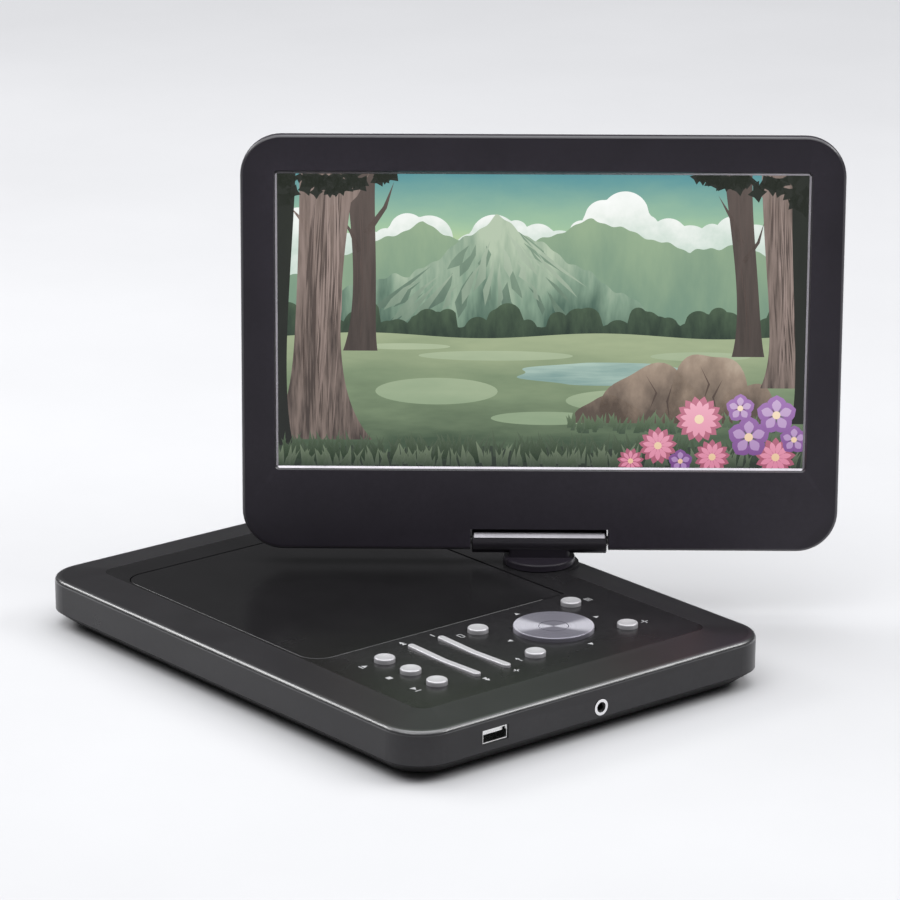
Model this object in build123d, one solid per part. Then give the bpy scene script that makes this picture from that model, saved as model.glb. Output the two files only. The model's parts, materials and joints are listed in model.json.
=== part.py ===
from build123d import *

import math
import os

# A portable disc player: a flat base with a top-loading disc drive and a keypad, and a wide screen
# carried on a hinge that swivels about a vertical axis and tilts about a horizontal one.
#
# Frame, in millimetres: the origin is the centre of the base's outline, on the plane its feet stand
# on. +X points to the keypad side, +Y to the hinge at the rear, and +Z up. The screen stands nearly
# upright and is swivelled towards the keypad's front corner. Each function below makes one piece.

# ---------------------------------------------------------------- driving dimensions
BASE_W, BASE_D = 264.0, 198.0  # the base's outline
CORNER_R = 18.0  # its corners, seen from above
FOOT_H = 1.5  # how far the feet stand out
WALL = 2.0  # moulded walls of both cases
RUN = 0.05  # radial gap of a shaft in its bearing

PARTING_Z = 8.0  # where the top case meets the bottom case
RIM_Z = 22.5  # where the side wall turns into the sloping border
RIM_ROUND = 1.9  # rounding of that edge
TOP_Z = 24.5  # the flat top of the base
BORDER = 20.0  # width of the sloping border
CEILING_Z = TOP_Z - WALL - 0.1  # underside of the flat top
FLOOR_Z = FOOT_H + WALL  # inside floor of the bottom case
UNDERCUT = 8.0  # how far the bottom case's sides slope in
SLANT_WALL = 2.5  # wall of the bottom case's sloping sides, measured level

CASE_SCREWS = [(-118, 84), (118, 84), (-118, -57), (118, -30), (48, -84), (-80, 74)]
SCREW_R, SCREW_HEAD_R, SCREW_HEAD_H = 1.3, 2.6, 1.8
BOSS_R = 3.4
FOOT_PLACES = [(-100, 72), (100, 72), (-100, -42), (96, -52)]
FOOT_R = 6.0
SPEAKER_PLACES = [(-107.5, -74.5), (107.5, -74.5)]
SPEAKER_R = 13.5
GRILLE_RINGS = ((0.0, 1), (5.0, 8), (10.0, 16))  # radius of each ring of holes, and how many
GRILLE_HOLE_R = 0.9
VENT_COUNT, VENT_STEP, VENT_W, VENT_L = 9, 6.0, 2.2, 26.0
VENT_X, VENT_Y = 20.0, 60.0  # the first vent's middle

DISC_X, DISC_Y = -29.0, -8.0  # the disc's axis
WELL_R = 63.5  # round well for a 120 mm disc
WELL_FLOOR_Z = 15.5
WELL_PLATE = 1.5
HUB_OPENING_R = 17.5  # hole in the well's floor for the turntable
SLED_OPENING_W, SLED_OPENING_L = 18.0, 62.0  # slot in the well's floor for the pickup
DOOR_W, DOOR_D, DOOR_T = 138.0, 138.0, 2.2
DOOR_X, DOOR_Y = DISC_X, DISC_Y - 1.0  # centre of the disc door
DOOR_R = 10.0
DOOR_GAP = 0.5
HINGE_EDGE_R = DOOR_T / 2  # the door's rear edge is round, about its pins
DOOR_AXIS_Y = DOOR_Y + DOOR_D / 2 - HINGE_EDGE_R
DOOR_AXIS_Z = TOP_Z - DOOR_T / 2
SEAT_Z = TOP_Z - DOOR_T - 0.4  # ledge the door closes on
DOOR_PIN_R, DOOR_PIN_OUT = 0.7, 3.6

SWIVEL_Y = 80.5  # the vertical hinge axis
SWIVEL_REST_DEG = 50.0  # how far the screen is turned from facing the front
TILT_REST_DEG = 5.0  # how far it leans back from upright
PIVOT_Z = TOP_Z + 10.0  # the horizontal hinge axis
BARREL_R, BARREL_L = 5.6, 60.0
TURRET_R = 16.0
PAD_R = 17.8  # flat pad under the turret
TURRET_GAP = 0.4
TURRET_TOP_Z = TOP_Z + 3.4
SWIVEL_SHAFT_R = 5.0
SWIVEL_BORE_R = 3.4  # the cables pass through the swivel shaft
TILT_SHAFT_R = 2.0
TILT_CLEARANCE = 0.4  # round the tilt shaft where it only passes through
PLATE_TOP_Z = 20.4  # hinge plate, under the top
PLATE_T = 1.6
PLATE_HOLE_X, PLATE_HOLE_Y = 15.5, 9.0
EAR_X, EAR_T = 9.6, 1.4  # the yoke's ears
BARREL_BORE_R = 4.2
NECK_W, NECK_D = 27.0, 9.6
STRIP_TURN = -40.0  # the bright strip faces forwards and up
STRIP_L, STRIP_W = 58.0, 2.6

LID_W, LID_H, LID_T = 264.0, 185.0, 12.4
LID_BELOW = 3.2  # how far the screen reaches below its tilt axis
LID_PARTING = -1.0  # depth, from the tilt axis, where bezel meets rear cover
VIEW_W, VIEW_H = 232.0, 130.5  # a 16:9 picture of the 10.5 inch class
VIEW_LOW = 34.3  # height of the picture above the tilt axis
GLASS_SET_BACK = 2.2
GLASS_T = 0.9
BEVEL = 1.5  # width of the slope round the picture opening
FRONT_Y, BACK_Y = -LID_T / 2, LID_T / 2
FRONT_ROUND, BACK_ROUND = 1.6, 3.0
COVER_SLOPE = 7.0  # how far the rear cover's top and sides slope in
COVER_WALL = 2.8  # wall of those sloping sides, measured level
COVER_GAP = 0.15  # gap between bezel and rear cover
LID_MID = LID_H / 2 - LID_BELOW  # middle of its height above the tilt axis
LID_LOW = -LID_BELOW
VIEW_MID = VIEW_LOW + VIEW_H / 2
NOTCH_HALF = BARREL_L / 2 + 0.6
NOTCH_TOP = BARREL_R + 0.7
ARM_X, ARM_T = BARREL_L / 2 + 6.0, 1.4
ARM_SCREW_X, ARM_SCREW_Z = 42, 14
LID_SCREWS = [(side * x, z) for x, z in ((112, 171.4), (120, 12), (ARM_SCREW_X, ARM_SCREW_Z))
              for side in (-1, 1)]

KEYPAD_X = 73.5  # middle of the keypad
NAV_X, NAV_Y, NAV_R = 71.8, 27.0, 17.4
NAV_STAND = 1.9  # how far the pad stands above the top
NAV_DISH_R, NAV_DISH = 200.0, 0.7  # radius of the pad's shallow bowl, and its depth
NAV_DOME_R = 12.5  # the pad's four dome switches, from its middle
OK_R = 6.2
KEY_R = 4.5
KEY_STAND = 2.0  # how far round keys stand above the top
KEY_TRAVEL = 0.5
KEY_EDGE = 0.7  # rounding of a round key's top edge
KEY_DISH_R, KEY_DISH = 15.0, 0.4  # radius and depth of the hollow in its top
KEY_STEM_R = 1.4
KEY_GAP, NAV_GAP, ROCKER_GAP = 0.25, 0.5, 0.35  # clear space round each kind of key
ROCKER_L, ROCKER_W = 46.0, 3.4
ROCKER_STAND = 1.3  # how far its ends stand above the top
ROCKER_DIP = 0.7  # how far its middle lies below its ends
ROCKER_DOME_X = 17.0  # its dome switches, from its middle
ROCKER_YS = (-18.7, -35.0)
KEY_PLACES = {
    "menu_key": (52.5, 53.6),
    "setup_key": (89.3, 53.6),
    "source_key": (54.0, -0.2),
    "back_key": (91.5, -0.2),
    "stop_key": (75.0, -54.2),
    "play_key": (92.2, -54.2),
}
OPEN_KEY_PLACE = (57.8, -54.2)
OPEN_KEY_TRAVEL = 1.5
KEY_BOARD_Z = 16.0  # underside of the keypad board
BOARD_T = 1.6
DOME_H = 0.6
DOME_TOP_Z = KEY_BOARD_Z + BOARD_T + DOME_H
FLANGE_Z = 21.0  # underside of the flange that keeps a key in
CUT_LOW = RIM_Z - 6.0  # the cuts for the keys and the swivel start here, inside the case

CATCH_X = DOOR_X + DOOR_W / 2 - 5.0
CATCH_Y = OPEN_KEY_PLACE[1]
CATCH_T, CATCH_TOE = 1.2, 2.4  # the hook's stem, and how far its toe reaches in front
CATCH_BITE = 1.2  # how far the slider overlaps the toe
LATCH_Z, LATCH_T = 17.6, 1.8
SPRING_FROM, SPRING_TO = 6.9, 12.9  # the latch spring's ends, counted from the catch
SPRING_Y = CATCH_Y - 4.6

MAIN_BOARD_Z = 9.2
USB_Y, USB_Z = -56.0, 14.2
USB_HALF_W, USB_HALF_H, USB_WALL = 6.6, 2.85, 0.45  # outside of the port's shell
PHONES_Y, PHONES_Z = 1.0, 12.6
PHONES_R, PHONES_NOSE_R = 1.8, 3.45  # bore for a 3.5 mm plug, and the socket's nose
DC_R, DC_NOSE_R = 2.85, 4.1  # the same for a 5.5 mm plug
JACK_DEPTH = 12.0
NOSE_GAP = 0.3
RING_R, RING_BORE_R = 3.55, 2.3  # bright ring round the headphone socket
LEFT_DC_Y, LEFT_AV_Y, LEFT_SWITCH_Y = 30.0, 10.0, -8.0
DC_Z = 13.6
CARD_Y, CARD_HALF = -38.0, 13.5
CARD_LOW, CARD_HIGH = 11.9, 14.5  # mouth of the card slot
SWITCH_HALF, SWITCH_LOW, SWITCH_HIGH = 5.5, 11.6, 15.0  # window of the power switch
SWITCH_TRAVEL = 3.0

SLED_IN, SLED_OUT = 24.0, 56.0  # lens to disc axis, at the sled's two ends
ROD_X = (DISC_X - 20.0, DISC_X + 15.5)
ROD_R, ROD_Z = 1.5, 9.0
RACK_X = DISC_X + 19.5  # back of the rack
GEAR_MODULE, PINION_TEETH = 0.8, 14
PINION_R = GEAR_MODULE * PINION_TEETH / 2
PINION_Y = DISC_Y - (SLED_IN + SLED_OUT) / 2
RACK_PITCH_X = RACK_X + 2.4
PINION_X = RACK_PITCH_X + PINION_R
BACKLASH = 0.12
SPINDLE_MOTOR_R = 13.0
DISC_REST_Z = 18.0  # the disc's underside on its hub
HUB_R, NOSE_R = 14.5, 7.35  # turntable, and the nose that fits a disc's hole
MOTOR_SHAFT_R = 1.0
BALL_R = 0.8
PRESSURE_ANGLE = 20.0
ADDENDUM, DEDENDUM = 0.92 * GEAR_MODULE, 1.25 * GEAR_MODULE  # a tooth's height above and below pitch
RACK_LOW, RACK_HIGH = 7.6, 10.4
LENS_Y = DISC_Y - SLED_IN
LENS_FRAME_R = 3.9
DAMPER_LOW_Z = 9.4
CHASSIS_Z, CHASSIS_T = 12.4, 1.0
CHASSIS_TOP_Z = CHASSIS_Z + CHASSIS_T
DECK_BOSSES = [(DISC_X + side * 36, DISC_Y + y) for side in (-1, 1) for y in (22, -66)]
TAB_YS = (DISC_Y - 71.4, DISC_Y + 7.0)  # folded tabs that hold the rods

HALF_W = BASE_W / 2


# ---------------------------------------------------------------- helpers
def plate(width, depth, radius, low, high, x=0.0, y=0.0):
    """A slab with rounded corners, from low to high."""
    outline = Pos(x, y, low) * RectangleRounded(width, depth, radius)
    return extrude(outline, high - low)


def block(x0, x1, y0, y1, z0, z1):
    """A box between two corners."""
    middle = Pos((x0 + x1) / 2, (y0 + y1) / 2, (z0 + z1) / 2)
    return middle * Box(x1 - x0, y1 - y0, z1 - z0)


def rod(radius, low, high, x=0.0, y=0.0):
    """An upright cylinder, from low to high."""
    return Pos(x, y, (low + high) / 2) * Cylinder(radius, high - low)


def rod_x(radius, x0, x1, y=0.0, z=0.0):
    """A cylinder along X."""
    return Pos((x0 + x1) / 2, y, z) * Rot(0, 90, 0) * Cylinder(radius, x1 - x0)


def rod_y(radius, y0, y1, x=0.0, z=0.0):
    """A cylinder along Y."""
    return Pos(x, (y0 + y1) / 2, z) * Rot(90, 0, 0) * Cylinder(radius, y1 - y0)


def tube(outer, inner, low, high, x=0.0, y=0.0):
    """An upright ring."""
    return rod(outer, low, high, x, y) - rod(inner, low - 1, high + 1, x, y)


def together(*shapes):
    """Separate solids of one node, kept apart."""
    return Compound(children=[solid for shape in shapes for solid in shape.solids()])


def tapered(w0, d0, r0, z0, w1, d1, r1, z1):
    """A solid between two rounded rectangles, one above the other."""
    low = Pos(0, 0, z0) * RectangleRounded(w0, d0, r0)
    high = Pos(0, 0, z1) * RectangleRounded(w1, d1, r1)
    return loft([low, high], ruled=True)


def edges_at(shape, z, near=0.01):
    """The edges of a shape that lie wholly at height z."""
    return shape.edges().filter_by(lambda e: abs(e.bounding_box().min.Z - z) < near
                                   and abs(e.bounding_box().max.Z - z) < near)


def edges_at_depth(shape, y, near=0.01):
    """The edges of a shape that lie wholly at depth y."""
    return shape.edges().filter_by(lambda e: abs(e.bounding_box().min.Y - y) < near
                                   and abs(e.bounding_box().max.Y - y) < near)


def round_about(x, y, radius, count):
    """Points spaced evenly round a circle, the first of them towards +X."""
    turns = [2 * math.pi * i / count for i in range(count)]
    return [(x + radius * math.cos(turn), y + radius * math.sin(turn)) for turn in turns]


# ---------------------------------------------------------------- base cases
def base_top_case():
    """Skirt, sloping border and flat top in one moulding, with the disc well and every opening."""
    skirt = plate(BASE_W, BASE_D, CORNER_R, PARTING_Z, RIM_Z)
    crown = tapered(BASE_W, BASE_D, CORNER_R, RIM_Z,
                    BASE_W - 2 * BORDER, BASE_D - 2 * BORDER, 6.0, TOP_Z)
    outer = skirt + crown
    outer = fillet(edges_at(outer, RIM_Z), RIM_ROUND)
    hollow = plate(BASE_W - 2 * WALL, BASE_D - 2 * WALL, CORNER_R - WALL, PARTING_Z - 1, RIM_Z - WALL)
    hollow += tapered(BASE_W - 2 * WALL, BASE_D - 2 * WALL, CORNER_R - WALL, RIM_Z - WALL - 0.01,
                      BASE_W - 2 * BORDER, BASE_D - 2 * BORDER, 5.0, CEILING_Z)
    case = outer - hollow

    # the disc well hangs from the top, with a ledge for the door round it
    ledge = plate(DOOR_W + 8, DOOR_D + 8, DOOR_R + 4, SEAT_Z - 1.6, TOP_Z - 0.5, DOOR_X, DOOR_Y)
    tub = rod(WELL_R + WALL, WELL_FLOOR_Z - WELL_PLATE, SEAT_Z, DISC_X, DISC_Y)
    case += ledge
    case += tub
    case -= plate(DOOR_W + 2 * DOOR_GAP, DOOR_D + 2 * DOOR_GAP, DOOR_R + DOOR_GAP,
                  SEAT_Z, TOP_Z + 2, DOOR_X, DOOR_Y)
    case -= rod(WELL_R, WELL_FLOOR_Z, SEAT_Z + 1, DISC_X, DISC_Y)
    case -= rod(HUB_OPENING_R, WELL_FLOOR_Z - 5, SEAT_Z, DISC_X, DISC_Y)
    case -= plate(SLED_OPENING_W, SLED_OPENING_L, 8.0, WELL_FLOOR_Z - 5, WELL_FLOOR_Z + 1,
                  DISC_X, DISC_Y - SLED_OPENING_L / 2)

    # bores for the door's two pins, and the mouth its catch drops through
    case -= rod_x(DOOR_PIN_R + RUN, DOOR_X - DOOR_W / 2 - DOOR_PIN_OUT, DOOR_X + DOOR_W / 2 + DOOR_PIN_OUT,
                  DOOR_AXIS_Y, DOOR_AXIS_Z)
    case -= block(DOOR_X - DOOR_W / 2 - DOOR_GAP, DOOR_X + DOOR_W / 2 + DOOR_GAP,
                  DOOR_AXIS_Y - 6, DOOR_Y + DOOR_D / 2 + DOOR_GAP, SEAT_Z, TOP_Z + 2)
    case -= block(CATCH_X - CATCH_TOE - 1, CATCH_X + CATCH_T + 1, CATCH_Y - 4, CATCH_Y + 4,
                  SEAT_Z - 3, SEAT_Z + 1)
    case += block(CATCH_X + SPRING_FROM - 1.3, CATCH_X + SPRING_FROM - 0.1,
                  SPRING_Y - 1.6, SPRING_Y + 1.6, LATCH_Z - 0.6, SEAT_Z - 1.0)

    # round pad and hole for the swivel
    case += rod(PAD_R, RIM_Z - 1.5, TOP_Z, 0, SWIVEL_Y)
    case -= rod(SWIVEL_SHAFT_R + 0.4, CUT_LOW, TOP_Z + 1, 0, SWIVEL_Y)

    # keypad openings
    case -= rod(NAV_R + NAV_GAP, CUT_LOW, TOP_Z + 1, NAV_X, NAV_Y)
    for x, y in [*KEY_PLACES.values(), OPEN_KEY_PLACE]:
        case -= rod(KEY_R + KEY_GAP, CUT_LOW, TOP_Z + 1, x, y)
    slot_l, slot_w = ROCKER_L + 2 * ROCKER_GAP, ROCKER_W + 2 * ROCKER_GAP
    for y in ROCKER_YS:
        case -= plate(slot_l, slot_w, slot_w / 2 - 0.01, CUT_LOW, TOP_Z + 1, KEYPAD_X, y)

    # side openings
    half_w, half_h = USB_HALF_W + 0.3, USB_HALF_H + 0.25
    right, left = (HALF_W - 5, HALF_W + 1), (-HALF_W - 1, -HALF_W + 5)
    case -= block(*right, USB_Y - half_w, USB_Y + half_w, USB_Z - half_h, USB_Z + half_h)
    case -= rod_x(PHONES_NOSE_R + NOSE_GAP, *right, PHONES_Y, PHONES_Z)
    case -= rod_x(DC_NOSE_R + NOSE_GAP, *left, LEFT_DC_Y, DC_Z)
    case -= rod_x(PHONES_NOSE_R + NOSE_GAP, *left, LEFT_AV_Y, PHONES_Z)
    case -= block(*left, LEFT_SWITCH_Y - SWITCH_HALF, LEFT_SWITCH_Y + SWITCH_HALF, SWITCH_LOW, SWITCH_HIGH)
    case -= block(*left, CARD_Y - CARD_HALF, CARD_Y + CARD_HALF, CARD_LOW, CARD_HIGH)

    # screw bosses reach down to the bottom case's
    for x, y in CASE_SCREWS:
        case += rod(BOSS_R, PARTING_Z + 1.2, CEILING_Z, x, y) - rod(SCREW_R, 0, 18, x, y)
    # hinge plate bosses
    for x in (-PLATE_HOLE_X, PLATE_HOLE_X):
        for y in (SWIVEL_Y - PLATE_HOLE_Y, SWIVEL_Y + PLATE_HOLE_Y):
            case += rod(2.6, PLATE_TOP_Z, RIM_Z, x, y)
            case -= rod(1.05, 0, RIM_Z - 1.0, x, y)
    return case


def base_bottom_case():
    """Shallow pan whose sides slope in towards the feet, with vents, grilles and screw posts."""
    outer = tapered(BASE_W - 2 * UNDERCUT, BASE_D - 2 * UNDERCUT, CORNER_R - UNDERCUT / 2, FOOT_H,
                    BASE_W, BASE_D, CORNER_R, PARTING_Z - 0.15)
    thin = 2 * SLANT_WALL
    inner = tapered(BASE_W - 2 * UNDERCUT - thin, BASE_D - 2 * UNDERCUT - thin, CORNER_R - UNDERCUT / 2 - 2,
                    FLOOR_Z, BASE_W - thin, BASE_D - thin, CORNER_R - SLANT_WALL, PARTING_Z)
    pan = outer - inner
    tongue = plate(BASE_W - 2 * WALL - 0.5, BASE_D - 2 * WALL - 0.5, CORNER_R - WALL - 0.25,
                   PARTING_Z - 1.2, PARTING_Z + 1.0)
    tongue -= plate(BASE_W - 2 * WALL - 3.5, BASE_D - 2 * WALL - 3.5, CORNER_R - WALL - 1.75,
                    PARTING_Z - 2, PARTING_Z + 2)
    pan += tongue
    for x, y in CASE_SCREWS:
        pan += rod(BOSS_R, FOOT_H + 0.5, PARTING_Z + 1.1, x, y)
        pan -= rod(SCREW_HEAD_R + 0.3, 0, FOOT_H + SCREW_HEAD_H + 0.4, x, y)
        pan -= rod(SCREW_R + 0.2, 0, PARTING_Z + 2, x, y)
    for x, y in DECK_BOSSES:
        pan += rod(3.0, FLOOR_Z - 0.5, DAMPER_LOW_Z, x, y)
    for x, y in SPEAKER_PLACES:
        for ring, count in GRILLE_RINGS:
            for hole in round_about(x, y, ring, count):
                pan -= rod(GRILLE_HOLE_R, 0, FLOOR_Z + 1, *hole)
    for i in range(VENT_COUNT):
        pan -= plate(VENT_W, VENT_L, VENT_W / 2 - 0.05, 0, FLOOR_Z + 1, VENT_X + i * VENT_STEP, VENT_Y)
    for x, y in FOOT_PLACES:
        pan -= rod(FOOT_R + 0.2, 0, FOOT_H + 0.8, x, y)
    return pan


def rubber_feet():
    """Four round feet set in shallow seats in the bottom case."""
    feet = []
    for x, y in FOOT_PLACES:
        foot = rod(FOOT_R, 0, FOOT_H + 0.75, x, y)
        feet.append(fillet(edges_at(foot, 0), 0.6))
    return together(*feet)


def pan_head_screw(x, y, head_low, tip, shank=1.25, head=2.5):
    """A screw with its head down, a cross recess in it, and a plain shank."""
    screw = rod(head, head_low, head_low + SCREW_HEAD_H, x, y) + rod(shank, head_low, tip, x, y)
    for turn in (0, 90):
        screw -= Pos(x, y, head_low + 0.3) * Rot(0, 0, turn) * Box(2.8, 0.7, 1.2)
    return screw


def base_screws():
    """The screws that hold the base's two halves together, and the four of the hinge plate."""
    low = PLATE_TOP_Z - PLATE_T - SCREW_HEAD_H - 0.05
    screws = [pan_head_screw(x, y, FOOT_H + 0.4, 17.0) for x, y in CASE_SCREWS]
    for x in (-PLATE_HOLE_X, PLATE_HOLE_X):
        for y in (SWIVEL_Y - PLATE_HOLE_Y, SWIVEL_Y + PLATE_HOLE_Y):
            screws.append(pan_head_screw(x, y, low, RIM_Z - 1.2, shank=1.0, head=2.0))
    return together(*screws)


# ---------------------------------------------------------------- electronics in the base
def main_board():
    """The player's main circuit board, on the right of the drive, cut round the front posts."""
    board = block(44, 127, -64, 64, MAIN_BOARD_Z, MAIN_BOARD_Z + BOARD_T)
    board -= rod(BOSS_R + 1, 0, 30, 118, -30)
    board -= block(116, 130, PHONES_Y - 5, PHONES_Y + 5, 0, 30)
    return board


def board_parts():
    """Chips, a crystal and capacitors on the main board."""
    top = MAIN_BOARD_Z + BOARD_T
    parts = [
        block(70, 86, 8, 24, top, top + 1.4),
        block(64, 76, -26, -14, top, top + 1.2),
        block(96, 106, 30, 38, top, top + 1.2),
        block(90, 101, -8, -3.4, top, top + 3.2),
    ]
    parts += [rod(2.4, top, top + 4.2, 54 + 7 * i, 48) for i in range(4)]
    return together(*parts)


def keypad_board():
    """The board under the keys. It hangs clear of the open key's plunger."""
    board = block(46, 104, -62, 62, KEY_BOARD_Z, KEY_BOARD_Z + BOARD_T)
    ox, oy = OPEN_KEY_PLACE
    board -= block(40, ox + 7, oy - 9, oy + 7, 0, 30)
    return board


def dome_places():
    """Where a dome switch sits under each key."""
    spots = list(KEY_PLACES.values())
    spots += round_about(NAV_X, NAV_Y, NAV_DOME_R, 4)
    spots.append((NAV_X, NAV_Y))
    spots += [(KEYPAD_X + side * ROCKER_DOME_X, y) for y in ROCKER_YS for side in (-1, 1)]
    return spots


def dome_switches():
    """Snap domes on the keypad board."""
    low = KEY_BOARD_Z + BOARD_T
    cap = Cone(2.5, 1.5, DOME_H)
    return together(*[Pos(x, y, low + DOME_H / 2) * cap for x, y in dome_places()])


def battery_pack():
    """Flat lithium pack in the left rear corner, with its lead end."""
    pack = block(-112, -22, 60, 86, 4.0, 13.4)
    pack -= rod(BOSS_R + 0.8, 0, 30, -80, 74)
    return fillet(pack.edges().filter_by(Axis.X), 1.2)


def speaker(x, y):
    """A round speaker facing down through its grille: basket, magnet and cone recess."""
    body = rod(SPEAKER_R, FLOOR_Z + 0.2, FLOOR_Z + 2.6, x, y)
    body += Pos(x, y, FLOOR_Z + 4.1) * Cone(SPEAKER_R - 2, 7.0, 3.0)
    body += rod(7.0, FLOOR_Z + 5.6, FLOOR_Z + 8.6, x, y)
    return body - Pos(x, y, FLOOR_Z + 1.2) * Cone(SPEAKER_R - 1.5, 4.0, 2.4)


def speakers():
    """The two speakers, in the front corners."""
    return together(*[speaker(x, y) for x, y in SPEAKER_PLACES])


def usb_port():
    """The flat port in the right side: its folded steel shell, and the plastic tongue inside."""
    x0, x1 = HALF_W - 15.0, HALF_W - 0.6
    shell = block(x0, x1, USB_Y - USB_HALF_W, USB_Y + USB_HALF_W, USB_Z - USB_HALF_H, USB_Z + USB_HALF_H)
    inner_w, inner_h = USB_HALF_W - USB_WALL, USB_HALF_H - USB_WALL
    shell -= block(x0 + 0.6, x1 + 1, USB_Y - inner_w, USB_Y + inner_w, USB_Z - inner_h, USB_Z + inner_h)
    tongue = block(x0 + 0.65, x1 - 1.8, USB_Y - 5.4, USB_Y + 5.4, USB_Z + 0.2, USB_Z + 1.9)
    return together(shell, tongue)


def jack(side, y, z, bore, outer):
    """A socket body with its nose in the case wall and a plain bore from the outside."""
    face = HALF_W - 0.8
    if side > 0:
        body = rod_x(outer, face - 6, face, y, z)
        body += block(face - 15, face - 3.4, y - 4, y + 4, z - 3.6, z + 3.6)
        return body - rod_x(bore, face - JACK_DEPTH, face + 1, y, z)
    body = rod_x(outer, -face, -face + 6, y, z)
    body += block(-face + 3.4, -face + 15, y - 4.6, y + 4.6, z - 3.6, z + 4.6)
    return body - rod_x(bore, -face - 1, -face + JACK_DEPTH, y, z)


def headphone_ring():
    """Bright ring round the headphone socket's mouth."""
    ring = rod_x(RING_R, HALF_W - 0.7, HALF_W + 0.25, PHONES_Y, PHONES_Z)
    return ring - rod_x(RING_BORE_R, HALF_W - 2, HALF_W + 1, PHONES_Y, PHONES_Z)


def headphone_jack():
    """Headphone socket in the right side."""
    return jack(1, PHONES_Y, PHONES_Z, PHONES_R, PHONES_NOSE_R)


def left_sockets():
    """The sound and picture socket and the power socket in the left side."""
    return together(jack(-1, LEFT_AV_Y, PHONES_Z, PHONES_R, PHONES_NOSE_R),
                    jack(-1, LEFT_DC_Y, DC_Z, DC_R, DC_NOSE_R))


def card_slot():
    """Memory card connector behind the slot in the left side."""
    mouth, back = -HALF_W + 2.4, -HALF_W + 29.0
    shell = block(mouth, back, CARD_Y - CARD_HALF, CARD_Y + CARD_HALF, CARD_LOW - 0.5, CARD_HIGH + 0.7)
    half = CARD_HALF - 1.3
    return shell - block(mouth - 1, back - 3, CARD_Y - half, CARD_Y + half, CARD_LOW + 0.2, CARD_HIGH - 0.1)


def power_switch():
    """Sliding switch knob in the left side, with a finger groove and the tail that drives it."""
    y = LEFT_SWITCH_Y - SWITCH_TRAVEL / 2
    knob = block(-HALF_W - 1.2, -HALF_W + 3.2, y - 3, y + 3, 12.0, 14.6)
    for shift in (-1.4, 0.0, 1.4):
        knob -= block(-HALF_W - 2, -HALF_W - 0.8, y + shift - 0.3, y + shift + 0.3, 11, 16)
    knob += block(-HALF_W + 2.6, -HALF_W + 4.2, y - 6.4, y + 6.4, 11.0, 15.6)
    return knob


# ---------------------------------------------------------------- disc drive
def loader_chassis():
    """Steel deck plate that carries the spindle motor and the sled's rods."""
    deck = block(DISC_X - 40, DISC_X + 40, DISC_Y - 72, DISC_Y + 27, CHASSIS_Z, CHASSIS_TOP_Z)
    deck -= rod(9.0, 0, 30, DISC_X, DISC_Y)
    deck -= block(DISC_X - 17, DISC_X + 10, DISC_Y - 70, DISC_Y - 15, 0, 30)
    for x, y in DECK_BOSSES:
        deck -= rod(3.1, 0, 30, x, y)
    deck -= rod(1.3, 0, 30, PINION_X, PINION_Y)
    # folded tabs under the deck hold both ends of each rod
    for x in ROD_X:
        for y in TAB_YS:
            tab = block(x - 3, x + 3, y - 0.6, y + 0.6, ROD_Z - 3.0, CHASSIS_Z + 0.2)
            deck += tab - rod_y(ROD_R + 0.02, y - 2, y + 2, x, ROD_Z)
    return deck


def loader_dampers():
    """Four soft grommets between the deck and the bottom case's posts."""
    dampers = []
    for x, y in DECK_BOSSES:
        body = rod(4.2, DAMPER_LOW_Z + 0.05, CHASSIS_Z - 0.05, x, y)
        body += rod(2.9, CHASSIS_Z - 0.1, CHASSIS_TOP_Z + 0.1, x, y)
        dampers.append(body)
    return together(*dampers)


def spindle_motor():
    """Flat brushless motor hung under the deck, with the bearing its shaft runs in."""
    can = rod(SPINDLE_MOTOR_R, 6.0, CHASSIS_Z - 0.1, DISC_X, DISC_Y)
    can += rod(6.0, CHASSIS_Z - 0.2, 14.6, DISC_X, DISC_Y)
    return can - rod(MOTOR_SHAFT_R + RUN, 7.5, 16, DISC_X, DISC_Y)


def spindle_hub():
    """Turntable, centring nose and shaft. The disc's 15 mm hole snaps over the nose."""
    nose_top = DISC_REST_Z + 2.6
    hub = rod(HUB_R, 15.0, DISC_REST_Z, DISC_X, DISC_Y)
    hub += rod(NOSE_R, 15.0, nose_top, DISC_X, DISC_Y)
    hub = chamfer(edges_at(hub, nose_top), 0.9)
    hub += rod(MOTOR_SHAFT_R, 8.0, 16.0, DISC_X, DISC_Y)
    for i, (x, y) in enumerate(round_about(DISC_X, DISC_Y, NOSE_R - 0.35, 3)):
        hub -= Pos(x, y, DISC_REST_Z + 1.4) * Rot(0, 0, 120 * i) * Box(2.6, 2.6, 1.8)
    return hub


def hub_balls():
    """Three sprung balls that grip the disc's hole."""
    places = round_about(DISC_X, DISC_Y, NOSE_R - 0.45, 3)
    return together(*[Pos(x, y, DISC_REST_Z + 1.4) * Sphere(BALL_R) for x, y in places])


def sled_rods():
    """Two ground steel rods that guide the pickup."""
    return together(*[rod_y(ROD_R, DISC_Y - 72.5, DISC_Y + 8.0, x, ROD_Z) for x in ROD_X])


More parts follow.
